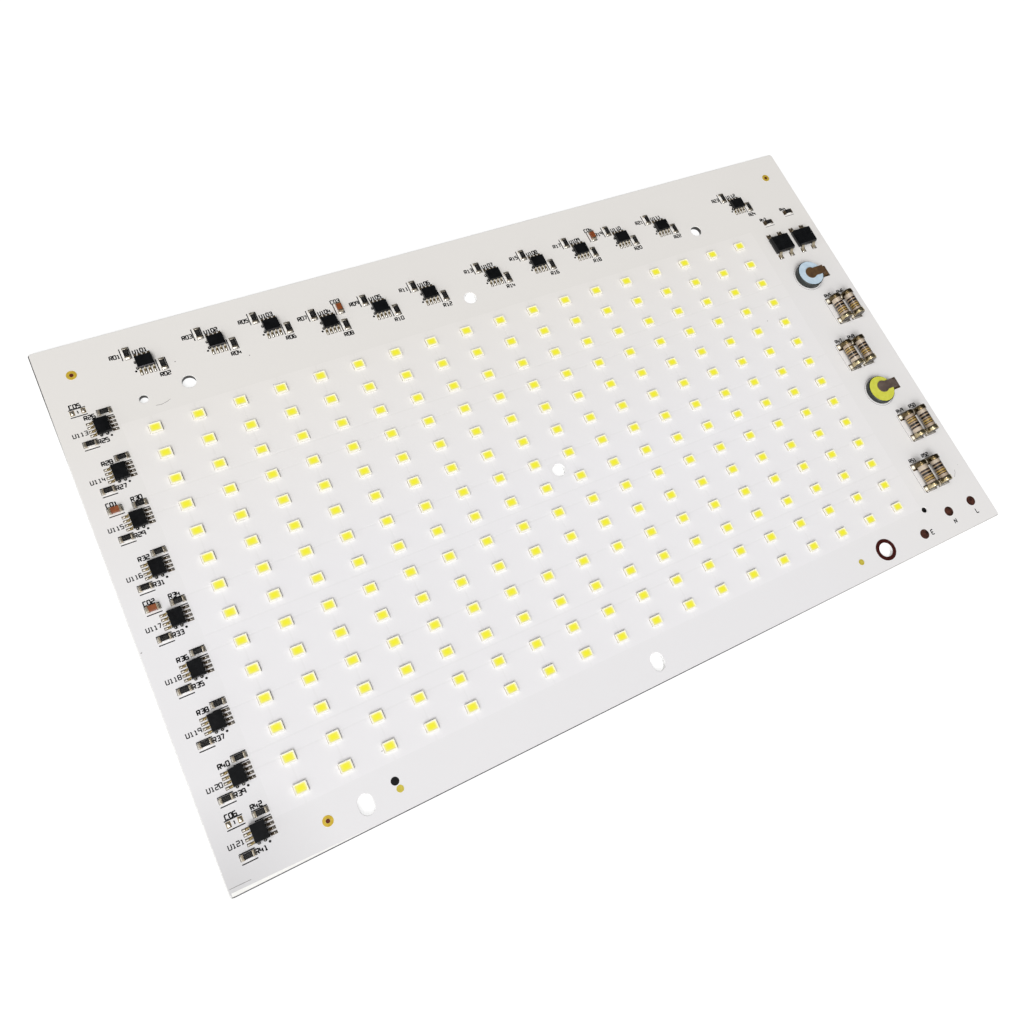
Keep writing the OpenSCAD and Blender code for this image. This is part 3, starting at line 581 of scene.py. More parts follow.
def dressLands():
    looks = {"terminal_lands": terminalLook, "earth_ring": earthLook, "guide_rings": goldLook,
             "guide_dots": dotLook, "empty_lands": emptyLook, "chip_lands": fluxLook,
             "driver_lands": driverLand(), "power_lands": powerLand()}
    for name, look in looks.items():
        dress(name, look)
    print("lands dressed")


dressLands()


# LEDs

ledLook = toned("whiteMould", (248, 245, 224), (252, 249, 232), drift=0.8, rough=(0.35, 0.5),
                grain=6.0, relief=0.004, specular=0.4)
ledTinLook = toned("ledTin", (176, 170, 158), (206, 200, 188), metal=0.35, drift=1.2, rough=(0.3, 0.5),
                   relief=0.002)
phosphorLook = {
    # tones from the middle of the window to its rim, by share of the window
    "stops": ((0.2, srgb(250, 244, 44)), (0.62, srgb(246, 240, 76)), (1.0, srgb(250, 245, 140))),
    "glow": (0.98, 1.2, 1.0, 0.0),  # where the tint beside the window starts and ends
    "glowTone": srgb(250, 246, 158),
    "grain": 9.0,
    "relief": 0.003,
    "rough": (0.3, 0.5),
    "specular": 0.4,
}


def windowReach(s, grid):
    # nothing in the middle of an LED's own window, one at its rim
    powers = []
    for place, (step, start, width) in zip((s.x, s.y), grid):
        local = s.math("PINGPONG", s.minus(place, start - step / 2), step / 2)
        share = s.math("DIVIDE", s.minus(step / 2, local), width / 2)
        powers.append(s.math("POWER", share, 4.0))
    return s.math("POWER", s.math("ADD", *powers), 0.25)


def phosphor(grid):
    s = Surface("phosphorGel", Specular_IOR_Level=phosphorLook["specular"])
    grain = s.noise(phosphorLook["grain"], detail=2)
    base = s.ramp(windowReach(s, grid), phosphorLook["stops"])
    return s.skin(base, grain, phosphorLook["rough"], grain, phosphorLook["relief"])


def ledMould(grid):
    # the white mould takes up some yellow beside the window
    s = mottled(ledLook)
    return s.change(s.span(windowReach(s, grid), *phosphorLook["glow"]), phosphorLook["glowTone"], 0.0)


def dressLeds():
    low, high = solidBoxes("led_fills_1")[0]
    grid = []
    for axis in range(2):
        lines = sorted({round(middle(box)[axis], 2) for box in ledBoxes})
        grid.append(((lines[-1] - lines[0]) / (len(lines) - 1), lines[0], high[axis] - low[axis]))
    gel, mould = phosphor(grid), ledMould(grid)
    for string in ledStrings:
        dress(f"led_bodies_{string}", mould, edge=0.06)
        dress(f"led_fills_{string}", gel)
        dress(f"led_terminals_{string}", ledTinLook)
    print("LEDs dressed, step", round(grid[0][0], 3), "by", round(grid[1][0], 3))


dressLeds()


# driver ICs and chip parts

epoxyLook = toned("blackEpoxy", (9, 10, 12), (19, 20, 22), drift=0.5, rough=(0.18, 0.26), grain=7.0,
                  relief=0.002, specular=0.28)
flankLook = {"draft": 0.14, "height": 0.4, "fade": (-108.0, -60.0, 1.0, 0.04), "tone": srgb(94, 92, 96)}
leadLook = toned("tinnedLead", (172, 152, 106), (204, 186, 140), metal=1.0, drift=1.0,
                 rough=(0.2, 0.34), relief=0.002)
# painted shade: the row's leads are a darker copy of the tinned lead
rowLeadLook = dict(leadLook, name="darkLead", tones=((146, 128, 92), (182, 165, 124)))
# painted highlight on the bends of the row's near leads
bendHighlightLook = {"from": (0.3, 0.6, 0.0, 1.0), "tone": srgb(214, 205, 184), "metal": 0.3}  # mm over the lands
# painted shade on the inner leads of the column
shadedLeadTone = srgb(74, 65, 52)
ceramicLook = toned("aluminaCeramic", (226, 224, 218), (240, 239, 235), drift=0.9, rough=(0.45, 0.6),
                    grain=6.0, relief=0.002)
coatLook = toned("resistorGlass", (12, 12, 14), (26, 26, 28), drift=0.8, rough=(0.22, 0.34), grain=5.0,
                 relief=0.002, specular=0.35)
chipTinLook = toned("chipTin", (164, 150, 128), (204, 194, 174), metal=1.0, drift=0.9, rough=(0.26, 0.42))
inputChips = {"corner": (110.0, 58.0), "tone": srgb(98, 86, 68), "metal": 0.6}  # right of and below, mm
capacitorLook = toned("brownDielectric", (118, 55, 23), (150, 82, 38), drift=0.7, rough=(0.34, 0.5),
                      grain=5.0, relief=0.002)


def rowEpoxy():
    # the near flanks of the row's first drivers catch the light
    s = mottled(dict(epoxyLook, name="rowEpoxy"))
    low, high = rowDrivers[0]
    flank = s.under(s.minus(s.y, rowLine(s)), flankLook["draft"] - (high.y - low.y) / 2)
    upper = s.over(s.z, high.z - flankLook["height"])
    return s.change(s.times(flank, upper, s.span(s.x, *flankLook["fade"])), flankLook["tone"], 0.0)


def rowLead():
    # painted highlight on the bends of the row's near leads
    s = mottled(rowLeadLook)
    bend = s.span(s.minus(s.z, landTop), *bendHighlightLook["from"])
    return s.change(s.times(s.under(s.y, rowLine(s)), bend), bendHighlightLook["tone"], bendHighlightLook["metal"])


def columnLead():
    # painted shade on the leads on the inner side of the column
    s = mottled(leadLook)
    return s.change(s.over(s.x, middle(columnDrivers[0]).x), shadedLeadTone, 1.0)


def rowChipTin():
    # the ends of the two input chips are darker and less metallic
    s = mottled(dict(chipTinLook, name="rowChipTin"))
    x, y = inputChips["corner"]
    return s.change(s.times(s.over(s.x, x), s.under(s.y, y)), inputChips["tone"], inputChips["metal"])


def dressChips():
    for line, epoxy, lead, ends in (("row", rowEpoxy(), rowLead(), rowChipTin()),
                                    ("column", epoxyLook, columnLead(), chipTinLook)):
        dress(f"{line}_driver_bodies", epoxy, edge=0.06)
        dress(f"{line}_driver_leads", lead, edge=0.04, angle=50)
        dress(f"{line}_resistor_ends", ends, edge=0.05)
        dress(f"{line}_resistor_chips", ceramicLook)
    dress("resistor_coats", coatLook, edge=0.015)
    dress("capacitor_bodies", capacitorLook, edge=0.06)
    dress("capacitor_ends", chipTinLook, edge=0.05)
    print("drivers and chip parts dressed")


dressChips()


# bridges, varistors and input resistors

bridgeLook = dict(epoxyLook, name="bridgeEpoxy", rough=(0.22, 0.34), grain=5.0)
bridgeLeadLook = toned("bridgeLead", (140, 124, 102), (196, 182, 158), metal=1.0, drift=0.6,
                       rough=(0.26, 0.42), grain=3.0)
litLeadLook = {"tone": srgb(172, 161, 138), "metal": 0.35}
discLook = toned("varistorCeramic", (17, 23, 22), (33, 40, 37), drift=0.4, rough=(0.3, 0.5), relief=0.004)
blueLook = toned("blueSilver", (184, 206, 222), (202, 220, 233), drift=0.5, rough=(0.42, 0.6), grain=5.0)
yellowLook = dict(blueLook, name="yellowSilver", tones=((204, 206, 66), (220, 220, 92)))
strapLook = toned("brownedStrap", (86, 64, 46), (122, 92, 58), metal=0.3, drift=0.35,
                  rough=(0.34, 0.52), grain=3.0, relief=0.004)
greyStrapLook = dict(strapLook, name="greyedStrap", tones=((96, 83, 76), (122, 107, 98)))
capLook = toned("bronzeCap", (178, 162, 124), (216, 202, 166), metal=1.0, drift=0.5, rough=(0.2, 0.3),
                grain=2.5)
# the rim tone is a painted shade on both rims of each cap; the far tone only darkens the far caps
capForm = {"crown": 0.14, "rim": (0.74, 0.98, 0.0, 1.0),  # mm, and shares of half a cap
           "farTone": srgb(104, 90, 64), "rimShadeTone": srgb(62, 50, 34)}
rodLook = {
    "white": srgb(208, 191, 170),
    "beige": srgb(178, 154, 126),
    "brown": srgb(40, 21, 17),
    "black": srgb(17, 11, 10),
    "umber": srgb(70, 47, 28),
    "gold": srgb(184, 152, 86),
    "pink": srgb(188, 168, 146),
    # band edges from one end of the rod to the other, as shares of its length
    "bands": ((0.0, "white"), (0.313, "brown"), (0.379, "beige"), (0.426, "black"), (0.508, "beige"),
              (0.549, "umber"), (0.584, "gold"), (0.652, "brown"), (0.684, "gold"), (0.73, "umber"),
              (0.764, "pink")),
    "waver": (0.49, 0.51),
    "waverScale": 0.6,  # repeats per millimetre
    "glossScale": 0.9,
    "rough": (0.2, 0.34),
    "grain": 1.4,
    "relief": 0.008,
    "coat": (0.35, 0.12),  # weight and roughness
    "side": (-0.3, 0.4, 0.84, 0.42),  # painted shade across each rod: from and to, by share of the radius, and the tones there
    "split": 0.1,  # half the strip between the rods of a pair, mm
}
rodWays = {1: (1, 1), 2: (-1, 1), 3: (-1, 1), 4: (1, 1)}  # which way each rod of a pair is read
rodShifts = {1: (0.0, 0.0), 2: (0.25, 0.2), 3: (0.1, 0.3), 4: (0.0, 0.35)}  # how far its bands sit off, mm


def capMetal(pair):
    # every cap is crowned along the rod, the far caps are darker, and painted shade darkens both rims of
    # every cap
    s = mottled(dict(capLook, name=f"bronzeCap{pair}"))
    boxes = solidBoxes(f"pair_{pair}_caps")
    lines = [middle(box).y for box in boxes]
    half = (boxes[0][1].y - boxes[0][0].y) / 2
    far = s.over(s.y, (min(lines) + max(lines)) / 2)
    share = s.math("DIVIDE", s.minus(s.y, s.span(far, 0.0, 1.0, min(lines), max(lines))), half)
    s.put(Normal=s.bump(s.minus(1.0, s.times(share, share)), capForm["crown"]))
    s.change(far, capForm["farTone"], 1.0)
    return s.change(s.span(s.math("ABSOLUTE", share), *capForm["rim"]), capForm["rimShadeTone"], 1.0)


def rodLacquer(pair):
    weight, rough = rodLook["coat"]
    s = Surface(f"bandedLacquer{pair}", Coat_Weight=weight, Coat_Roughness=rough)
    low, high = nodeBox(f"pair_{pair}_rods")
    centre, length = (low + high) / 2, high.y - low.y
    rods = rodBoxes[pair]

    def perRod(left, right):
        # one value on the left rod and another on the right one
        return s.span(s.x, centre.x - rodLook["split"], centre.x + rodLook["split"], left, right)

    along = s.math("DIVIDE", s.minus(centre.y, s.y), length)
    along = s.times(along, perRod(*rodWays[pair]))
    along = s.math("ADD", along, perRod(*[shift / length for shift in rodShifts[pair]]))
    waver = s.span(s.noise(rodLook["waverScale"], detail=2), 0.0, 1.0, *rodLook["waver"])
    bands = [(at, rodLook[tone]) for at, tone in rodLook["bands"]]
    tone = s.ramp(s.math("ADD", along, waver), bands, "CONSTANT")
    # painted shade, darker towards the +X side of each rod
    off = s.minus(s.x, perRod(*sorted(middle(rod).x for rod in rods)))
    off = s.math("DIVIDE", off, (rods[0][1].x - rods[0][0].x) / 2)
    base = s.scaled(tone, s.span(off, *rodLook["side"]))
    gloss, grain = s.noise(rodLook["glossScale"], detail=2), s.noise(rodLook["grain"], detail=2)
    return s.skin(base, gloss, rodLook["rough"], grain, rodLook["relief"])


def bridgeLead(number):
    # painted light: the near leads are paler and duller than the far ones
    s = mottled(dict(bridgeLeadLook, name=f"bridgeLead{number}"))
    near = s.under(s.y, middle(nodeBox(f"bridge_{number}_body")).y)
    return s.change(near, litLeadLook["tone"], litLeadLook["metal"])


def dressPower():
    for number, face, strap in ((1, blueLook, strapLook), (2, yellowLook, greyStrapLook)):
        dress(f"bridge_{number}_body", bridgeLook, edge=0.1)
        dress(f"bridge_{number}_leads", bridgeLead(number), edge=0.05, angle=50)
        dress(f"varistor_{number}_disc", discLook)
        dress(f"varistor_{number}_electrode", face)
        dress(f"varistor_{number}_strap", strap, edge=0.06, angle=50)
    for pair in pairNumbers:
        dress(f"pair_{pair}_rods", rodLacquer(pair))
        dress(f"pair_{pair}_caps", capMetal(pair), edge=0.1, segments=3, angle=40)
    print("bridges, varistors and input resistors dressed")


dressPower()


# solder on the lands, the leads and the chip ends

wettedLook = toned("dullSolder", (148, 132, 92), (180, 164, 122), metal=0.25, drift=0.8,
                   rough=(0.3, 0.46), grain=3.0, relief=0.004)
filletLook = {
    "driver": (0.85, 0.6, 0.42),  # length, width and height, mm
    "chip": (0.9, 1.6, 0.66),
    "bridge": (0.38, 1.3, 0.36),
    "cap": (0.45, 4.5, 0.6),
    "fullness": {"driver": 3, "chip": 8, "bridge": 4, "cap": 3},
    "chipStart": 0.42,  # a chip's solder starts on top of its end
    "inputShare": 0.2,  # the fillets of the two input chips are small
    "farShare": 0.4,  # the drivers' upper fillets are small
    "wet": (0.09, 0.13),  # rim and height, mm
    "pool": (0.1, 0.28),
}


def unitShape(points, faces, smoothCorners):
    # closed shape of unit size; its faces of up to so many corners are smooth
    mesh = meshFrom("unitShape", points, faces, unit=1.0)
    shape = bmesh.new()
    shape.from_mesh(mesh)
    bmesh.ops.recalc_face_normals(shape, faces=shape.faces)
    shape.to_mesh(mesh)
    shape.free()
    for face in mesh.polygons:
        face.use_smooth = len(face.vertices) <= smoothCorners
    return newObject("unitShape", mesh)


def gridShape(heightAt, along, across, start, walled):
    # sheet over a flat base, with a wall at its start where it has height there
    row = across + 1
    spots = [(start + i / along, j / across - 0.5) for i in range(along + 1) for j in range(row)]
    firsts = [i * row + j for i in range(along) for j in range(across)]
    faces = [(a, a + row, a + row + 1, a + 1) for a in firsts]
    base = ([0] if walled else list(range(across))) + [i * row + across for i in range(along + 1)]
    base += [along * row + j for j in range(across - 1, -1, -1)] + [i * row for i in range(along - 1, 0, -1)]
    faces.append(tuple(base))
    if walled:
        faces.append(tuple(range(row)))
    return unitShape([(x, y, heightAt(x, y)) for x, y in spots], faces, len(spots))


def filletShape(fullness):
    # ramp: full height at x 0, nothing at x 1, rounded off at both sides
    def heightAt(x, y):
        return max(0.0, 1 - abs(2 * y) ** fullness) * (1 - x) * (1 + 0.25 * x)
    return gridShape(heightAt, along=5, across=8, start=0.0, walled=True)


def poolShape():
    # flat at its border and highest in its middle
    def heightAt(x, y):
        return (1 - abs(2 * x) ** 3) * (1 - abs(2 * y) ** 3)
    return gridShape(heightAt, along=8, across=8, start=-0.5, walled=False)


def roundShape(sides, crown=0.0):
    # round stud; crown is the share of its height that is domed
    rings = [(1.0, 0.0), (1.0, 1 - crown), (0.75, 1 - crown * 0.35), (0.4, 1 - crown * 0.08)]
    angles = [2 * math.pi * i / sides for i in range(sides)]
    points = [(r * math.cos(a), r * math.sin(a), height) for r, height in rings for a in angles]
    top = (len(rings) - 1) * sides
    faces = [tuple(range(top, len(points))), tuple(reversed(range(sides)))]
    for ring in range(0, top, sides):
        for i in range(sides):
            a, b = ring + i, ring + (i + 1) % sides
            faces.append((a, b, b + sides, a + sides))
    return unitShape(points, faces, 4 if crown else 0)


def placesOn(boxes, level, shift=(0.0, 0.0)):
    spots = [middle(box) for box in boxes]
    return [(spot.x + shift[0], spot.y + shift[1], level, 0.0, 1.0) for spot in spots]


def endPlace(box, away, share=1.0, inset=0.0):
    # where the solder of an end starts, on the side away from its part, and the way it runs
    axis = 0 if abs(away.x) > abs(away.y) else 1
    out = away[axis] > 0
    spot = middle(box)
    spot[axis] = box[1][axis] - inset if out else box[0][axis] + inset
    turn = axis * math.pi / 2 - (0.0 if out else math.pi)
    return (spot.x, spot.y, landTop, turn, share)


def driverPoints():
    places = []
    for lead in solidBoxes("row_driver_leads") + solidBoxes("column_driver_leads"):
        away = middle(lead) - middle(nearest(rowDrivers + columnDrivers, middle(lead))[0])
        share = filletLook["farShare"] if away.y > abs(away.x) else 1.0
        places.append(endPlace(lead, away, share))
    return places


def chipPoints():
    places = []
    for node in ("row_resistor_ends", "column_resistor_ends", "capacitor_ends"):
        boxes = solidBoxes(node)
        for box in boxes:
            away = middle(box) - middle(nearest(boxes, middle(box))[1])
            small = abs(away.x) > abs(away.y) and middle(box).x > inputChips["corner"][0]
            share = filletLook["inputShare"] if small else 1.0
            places.append(endPlace(box, away, share, filletLook["chipStart"]))
    return places


def sidePoints(names):
    # the outer sides of bridge leads or caps, seen from the middle of their part
    places = []
    for part, ends in names:
        line = middle(nodeBox(part)).y
        places += [endPlace(box, Vector((0.0, middle(box).y - line))) for box in solidBoxes(ends)]
    return places


def buildFillets():
    bridges = [(f"bridge_{number}_body", f"bridge_{number}_leads") for number in (1, 2)]
    caps = [(f"pair_{pair}_caps",) * 2 for pair in pairNumbers]
    sets = {"driver": driverPoints(), "chip": chipPoints(), "bridge": sidePoints(bridges),
            "cap": sidePoints(caps)}
    for name, places in sets.items():
        shape = filletShape(filletLook["fullness"][name])
        spread(name + "_fillets", shape, filletLook[name], places, solderLook)


def buildPools():
    # solder on the near lands of every driver and on the empty lands
    places = []
    lands = solidBoxes("driver_lands")
    for land in lands:
        body = nearest(rowDrivers + columnDrivers, middle(land))[0]
        away = middle(land) - middle(body)
        alongX = body in columnDrivers
        if (away.x if alongX else away.y) < 0:
            x, y, level = middle(land)
            places.append((x, y, landTop, 0.0 if alongX else math.pi / 2, 1.0))
    rim, height = filletLook["wet"]
    short, long = sorted((lands[-1][1] - lands[-1][0]).xy)
    size = (long - 2 * rim, short - 2 * rim, height)
    spread("driver_wetting", poolShape(), size, places, wettedLook)
    rim, height = filletLook["pool"]
    x, y = (emptyLands[0][1] - emptyLands[0][0]).xy
    size = (x - 2 * rim, y - 2 * rim, height)
    spread("empty_pools", poolShape(), size, placesOn(emptyLands, landTop), solderLook)


buildFillets()
buildPools()


# eyes of the guide rings, and tie bar stubs on the ends of the drivers, each on a black lug that stands in
# for the shade round it

eyeSize = (0.58, 0.58, 0.02)  # mm
stubLook = {
    "row": (0.65, -1.4),  # offsets across a driver, mm
    "column": (-1.1, 0.5),
    "out": 0.1,
    "shadeLug": (0.42, 0.42, 0.55),
    "metal": (0.2, 0.2, 0.62),
    "crown": 0.4,
}


def buildStuds():
    eyes = placesOn(solidBoxes("guide_rings"), faceTop)
    spread("guide_eyes", roundShape(sides=20), eyeSize, eyes, eyeLook)
    places = []
    for axis, bodies, shifts in ((0, rowDrivers, stubLook["row"]), (1, columnDrivers, stubLook["column"])):
        for body in bodies:
            for shift in shifts:
                spot = middle(body)
                spot[axis] = body[0][axis] - stubLook["out"]
                spot[1 - axis] += shift
                places.append((spot.x, spot.y, landTop, 0.0, 1.0))
    # black lug under each stub, a dark piece that stands in for the shade round it
    shape = roundShape(sides=12, crown=stubLook["crown"])
    spread("driver_flash", shape, stubLook["shadeLug"], places, epoxyLook)
    shape = roundShape(sides=8, crown=stubLook["crown"])
    spread("driver_ties", shape, stubLook["metal"], places, solderLook)


buildStuds()


# printed marks

inkLook = toned("blackInk", (8, 8, 10), (22, 21, 23), drift=0.8, rough=(0.45, 0.6), relief=0.002,
                specular=0.2)
digitLook = toned("greyMarking", (58, 57, 54), (74, 73, 69), drift=1.0, rough=(0.4, 0.6), relief=0.001)
printStyle = {
    "letter": (0.74, 1.25, 1.05),  # width, height and step, mm
    "pens": {"bold": 0.34, "plain": 0.27, "outline": 0.3, "fine": 0.16, "faint": 0.07},
    "ink": 0.012,
    "corner": 0.1,
    "stagger": (0.0007, 7),  # keeps strokes that cross out of one plane
    "outline": (0.8, 0.3, 0.5),  # room below, above and past the ends of a part
    "emptyOutline": (0.55, 0.3, 0.2),
    "emptyTick": ((-0.2, 0.3), (0.0, 0.5), (0.0, -0.5)),
    "pairLine": (1.0, 0.3),
    "discRing": 0.5,
    "dot": 0.34,
    "bigDot": (-88.0, -72.1, 3.4),  # place and share
    "terminals": (("L", 127.6, -75.9), ("N", 117.2, -75.9), ("E", 106.3, -75.8)),
    "terminalHeight": 1.6,
    "inputHeight": 1.1,
}
labelCounts = {"U": 101, "R": 1, "C": 1}  # the next numbers of drivers, resistors and capacitors
# where each label stands, from the middle of its part, mm
labelShifts = {
    "row": ((-0.25, 4.15), (-3.35, -0.2), (-0.3, -3.3)),  # driver, its left and its right resistor
    "column": ((-6.2, -0.45), (3.4, -0.1), (-4.15, -0.3)),
    "lifted": (-0.4, 2.0),
    "liftedAt": (2, 4, 8),  # drivers whose inner resistor has its number above it
    "capacitor": {True: (-0.4, 1.95), False: (-0.4, 2.75)},  # along the board or across it
    "empty": (-0.3, 1.95),
    "input": (-1.4, 1.75),
    "rod": (-0.4, 1.6),
    "rowDot": (-3.2, -2.15),
    "columnDot": (1.4, -3.35),
}
# strokes on a grid one wide and two high
glyphs = {
    "0": [[(0, 0), (1, 0), (1, 2), (0, 2), (0, 0)]],
    "1": [[(0.15, 1.55), (0.5, 2), (0.5, 0)], [(0.15, 0), (0.85, 0)]],
    "2": [[(0, 2), (1, 2), (1, 1), (0, 1), (0, 0), (1, 0)]],
    "3": [[(0, 2), (1, 2), (1, 0), (0, 0)], [(0.25, 1), (0.95, 1)]],
    "4": [[(0, 2), (0, 0.8), (1, 0.8)], [(0.8, 1.5), (0.8, 0)]],
    "5": [[(1, 2), (0, 2), (0, 1.1), (1, 1.1), (1, 0), (0, 0)]],
    "6": [[(1, 2), (0, 2), (0, 0), (1, 0), (1, 1), (0.05, 1)]],
    "7": [[(0, 2), (1, 2), (0.4, 0)]],
    "8": [[(0, 0), (1, 0), (1, 2), (0, 2), (0, 0)], [(0.05, 1), (0.95, 1)]],
    "9": [[(1, 0), (1, 2), (0, 2), (0, 1), (0.95, 1)]],
    "C": [[(1, 2), (0, 2), (0, 0), (1, 0)]],
    "E": [[(1, 2), (0, 2), (0, 0), (1, 0)], [(0.05, 1), (0.8, 1)]],
    "L": [[(0, 2), (0, 0), (1, 0)]],
    "N": [[(0, 0), (0, 2), (1, 0), (1, 2)]],
    "R": [[(0, 0), (0, 2), (1, 2), (1, 1), (0.05, 1)], [(0.45, 0.95), (1, 0)]],
    "U": [[(0, 2), (0, 0), (1, 0), (1, 2)]],
}


class StrokeSheet:
    # collects pen paths as edges of one seed mesh
    def __init__(self, level):
        self.level = level
        self.points = []
        self.edges = []

    def path(self, points):
        first = len(self.points)
        step, count = printStyle["stagger"]
        level = self.level + step * (first % count)
        self.points += [(x, y, level) for x, y in points]
        self.edges += [(first + i, first + i + 1) for i in range(len(points) - 1)]

    def word(self, text, x, y, height=None, turn=0.0, step=None):
        # x, y is the middle of the word
        letterWidth, letterHeight, letterStep = printStyle["letter"]
        height = height or letterHeight
        scale = height / letterHeight
        width = letterWidth * scale
        step = (step or letterStep) * scale
        length = step * (len(text) - 1) + width
        spin = Matrix.Rotation(turn, 2)
        for index, letter in enumerate(text):
            for stroke in glyphs[letter]:
                turned = [spin @ Vector((index * step + px * width - length / 2, (py - 1) * height / 2))
                          for px, py in stroke]
                self.path([(x + p.x, y + p.y) for p in turned])

    def label(self, letter, at, shift, height=None):
        # the next number of its kind
        text = f"{letter}{labelCounts[letter]:02d}"
        labelCounts[letter] += 1
        self.word(text, at.x + shift[0], at.y + shift[1], height)

    def outline(self, box, alongX, room=printStyle["outline"]):
        # two lines along the long sides of a part, a little off its middle
        low, high = box
        near, far, reach = room
        if alongX:
            for y in (high.y + far, low.y - near):
                self.path([(low.x - reach, y), (high.x + reach, y)])
        else:
            for x in (low.x - near, high.x + far):
                self.path([(x, low.y - reach), (x, high.y + reach)])

    def ring(self, x, y, radius, count=40):
        angles = [2 * math.pi * i / count for i in range(count + 1)]
        self.path([(x + radius * math.cos(a), y + radius * math.sin(a)) for a in angles])


def inkPiece(name, sheet, look, pen):
    settings = {"Pen Width": pen, "Ink Height": printStyle["ink"], "Corner Radius": printStyle["corner"]}
    paths = meshFrom(name + "Paths", sheet.points, edges=sheet.edges)
    growPiece(name, inkStrokes, paths, settings, look)


def lengthwise(box):
    return box[1].x - box[0].x > box[1].y - box[0].y


def numberDrivers(side, bodies, resistors, named, bold, lines):
    driverShift, *chipShifts = labelShifts[side]
    for index, body in enumerate(bodies):
        named.label("U", middle(body), driverShift)
        chips = sorted(nearest(resistors, middle(body))[:2], key=lambda box: box[0].x)
        shifts = list(chipShifts)
        if side == "column" and index in labelShifts["liftedAt"]:
            shifts[1] = labelShifts["lifted"]
        for chip, shift in zip(chips, shifts):
            bold.label("R", middle(chip), shift)
            lines.outline(chip, side == "column")


def numberCapacitors(bold, lines):
    for box in capacitors:
        bold.label("C", middle(box), labelShifts["capacitor"][lengthwise(box)])
        lines.outline(box, lengthwise(box))
    pads = sorted(emptyLands, key=lambda box: -box[0].y)
    for pair in (pads[:2], pads[2:]):
        at = (middle(pair[0]) + middle(pair[1])) / 2
        wide, tall, level = zip(*[corner for box in pair for corner in box])
        around = [Vector((pick(wide), pick(tall))) for pick in (min, max)]
        bold.label("C", at, labelShifts["empty"])
        lines.outline(around, True, printStyle["emptyOutline"])
        lines.path([(at.x + x, at.y + y) for x, y in printStyle["emptyTick"]])


def numberPower(bold, fine, faint):
    right, below = inputChips["corner"]
    for box in rowResistors:
        if middle(box).x > right and middle(box).y < below:
            bold.label("R", middle(box), labelShifts["input"], printStyle["inputHeight"])
            fine.outline(box, True)
    out, past = printStyle["pairLine"]
    for pair in pairNumbers:
        low, high = nodeBox(f"pair_{pair}_caps")
        for rod in rodBoxes[pair]:
            bold.label("R", Vector((middle(rod).x, high.y)), labelShifts["rod"])
        faint.path([(low.x - out, low.y - past), (low.x - out, high.y + past)])
    for disc in (1, 2):
        low, high = nodeBox(f"varistor_{disc}_disc")
        faint.ring((low.x + high.x) / 2, (low.y + high.y) / 2, (high.x - low.x) / 2 + printStyle["discRing"])
    for letter, x, y in printStyle["terminals"]:
        bold.word(letter, x, y, printStyle["terminalHeight"])


def printLabels():
    level = printStyle["ink"] / 2
    bold, plain, lines, fine, faint = [StrokeSheet(faceTop + level) for sheet in range(5)]
    raised = StrokeSheet(landTop + level)
    numberDrivers("row", rowDrivers, rowResistors, raised, bold, lines)
    numberDrivers("column", columnDrivers, columnResistors, plain, bold, lines)
    numberCapacitors(bold, lines)
    numberPower(bold, fine, faint)
    pieces = {"row_numbers": (raised, "bold"), "chip_numbers": (bold, "bold"),
              "driver_numbers": (plain, "plain"), "chip_outlines": (lines, "outline"),
              "fine_outlines": (fine, "fine"), "faint_outlines": (faint, "faint")}
    for name, (sheet, pen) in pieces.items():
        inkPiece(name, sheet, inkLook, printStyle["pens"][pen])
    dots = placesOn(rowDrivers, faceTop, labelShifts["rowDot"])
    dots += placesOn(columnDrivers, faceTop, labelShifts["columnDot"])
    x, y, share = printStyle["bigDot"]
    dots.append((x, y, faceTop, 0.0, share))
    size = (printStyle["dot"], printStyle["dot"], printStyle["ink"])
    spread("pin_dots", roundShape(sides=16), size, dots, inkLook)
    print("printed marks done")


# height, step and pen of the values on the chip resistors, and how far the ink stands up, mm
coatMarks = {"values": ("100", "220", "470", "150"), "letter": (0.66, 1.1), "pen": 0.09, "level": 0.004}


def markCoats():
    coats = solidBoxes("resistor_coats")
    sheet = StrokeSheet(coats[0][1].z + coatMarks["level"])
    height, step = coatMarks["letter"]
    for index, box in enumerate(coats):
        value = coatMarks["values"][index % len(coatMarks["values"])]
        turn = 0.0 if lengthwise(box) else math.pi / 2
        sheet.word(value, middle(box).x, middle(box).y, height, turn, step)
    inkPiece("coat_values", sheet, digitLook, coatMarks["pen"])


printLabels()
markCoats()


# wear: hairs and specks, and a pale strip along the lower edge

wearLook = {
    "hairs": (((-108.0, 53.5), (-106.5, 53.3), (-105.0, 53.6), (-103.6, 54.2)),
              ((128.7, -59.9), (128.2, -61.0), (127.0, -62.2)),
              ((-134.4, -78.2), (-129.0, -78.3))),
    "hairPen": 0.1,  # mm
    "hairLevel": 0.02,
    "specks": ((27.0, -54.5), (-88.0, -63.5), (-134.3, -13.9), (92.7, 15.8), (-98.5, 65.4), (-78.0, 60.5)),
    "speckSize": (0.2, 0.15, 0.05),
    "speckCrown": 0.4,
    # corners of a pale strip along the lower left edge
    "chip": ((-134.3, -80.2), (-96.0, -80.12), (-120.0, -79.55), (-134.3, -79.25)),
    "stripHeight": 0.006,
}
hairLook = toned("dustGrey", (112, 110, 106), (150, 148, 144), drift=0.8, rough=(0.5, 0.7), relief=0.001)
paleStripLook = toned("brightChip", (244, 244, 240), (252, 252, 249), drift=0.4, rough=(0.4, 0.6), relief=0.001)


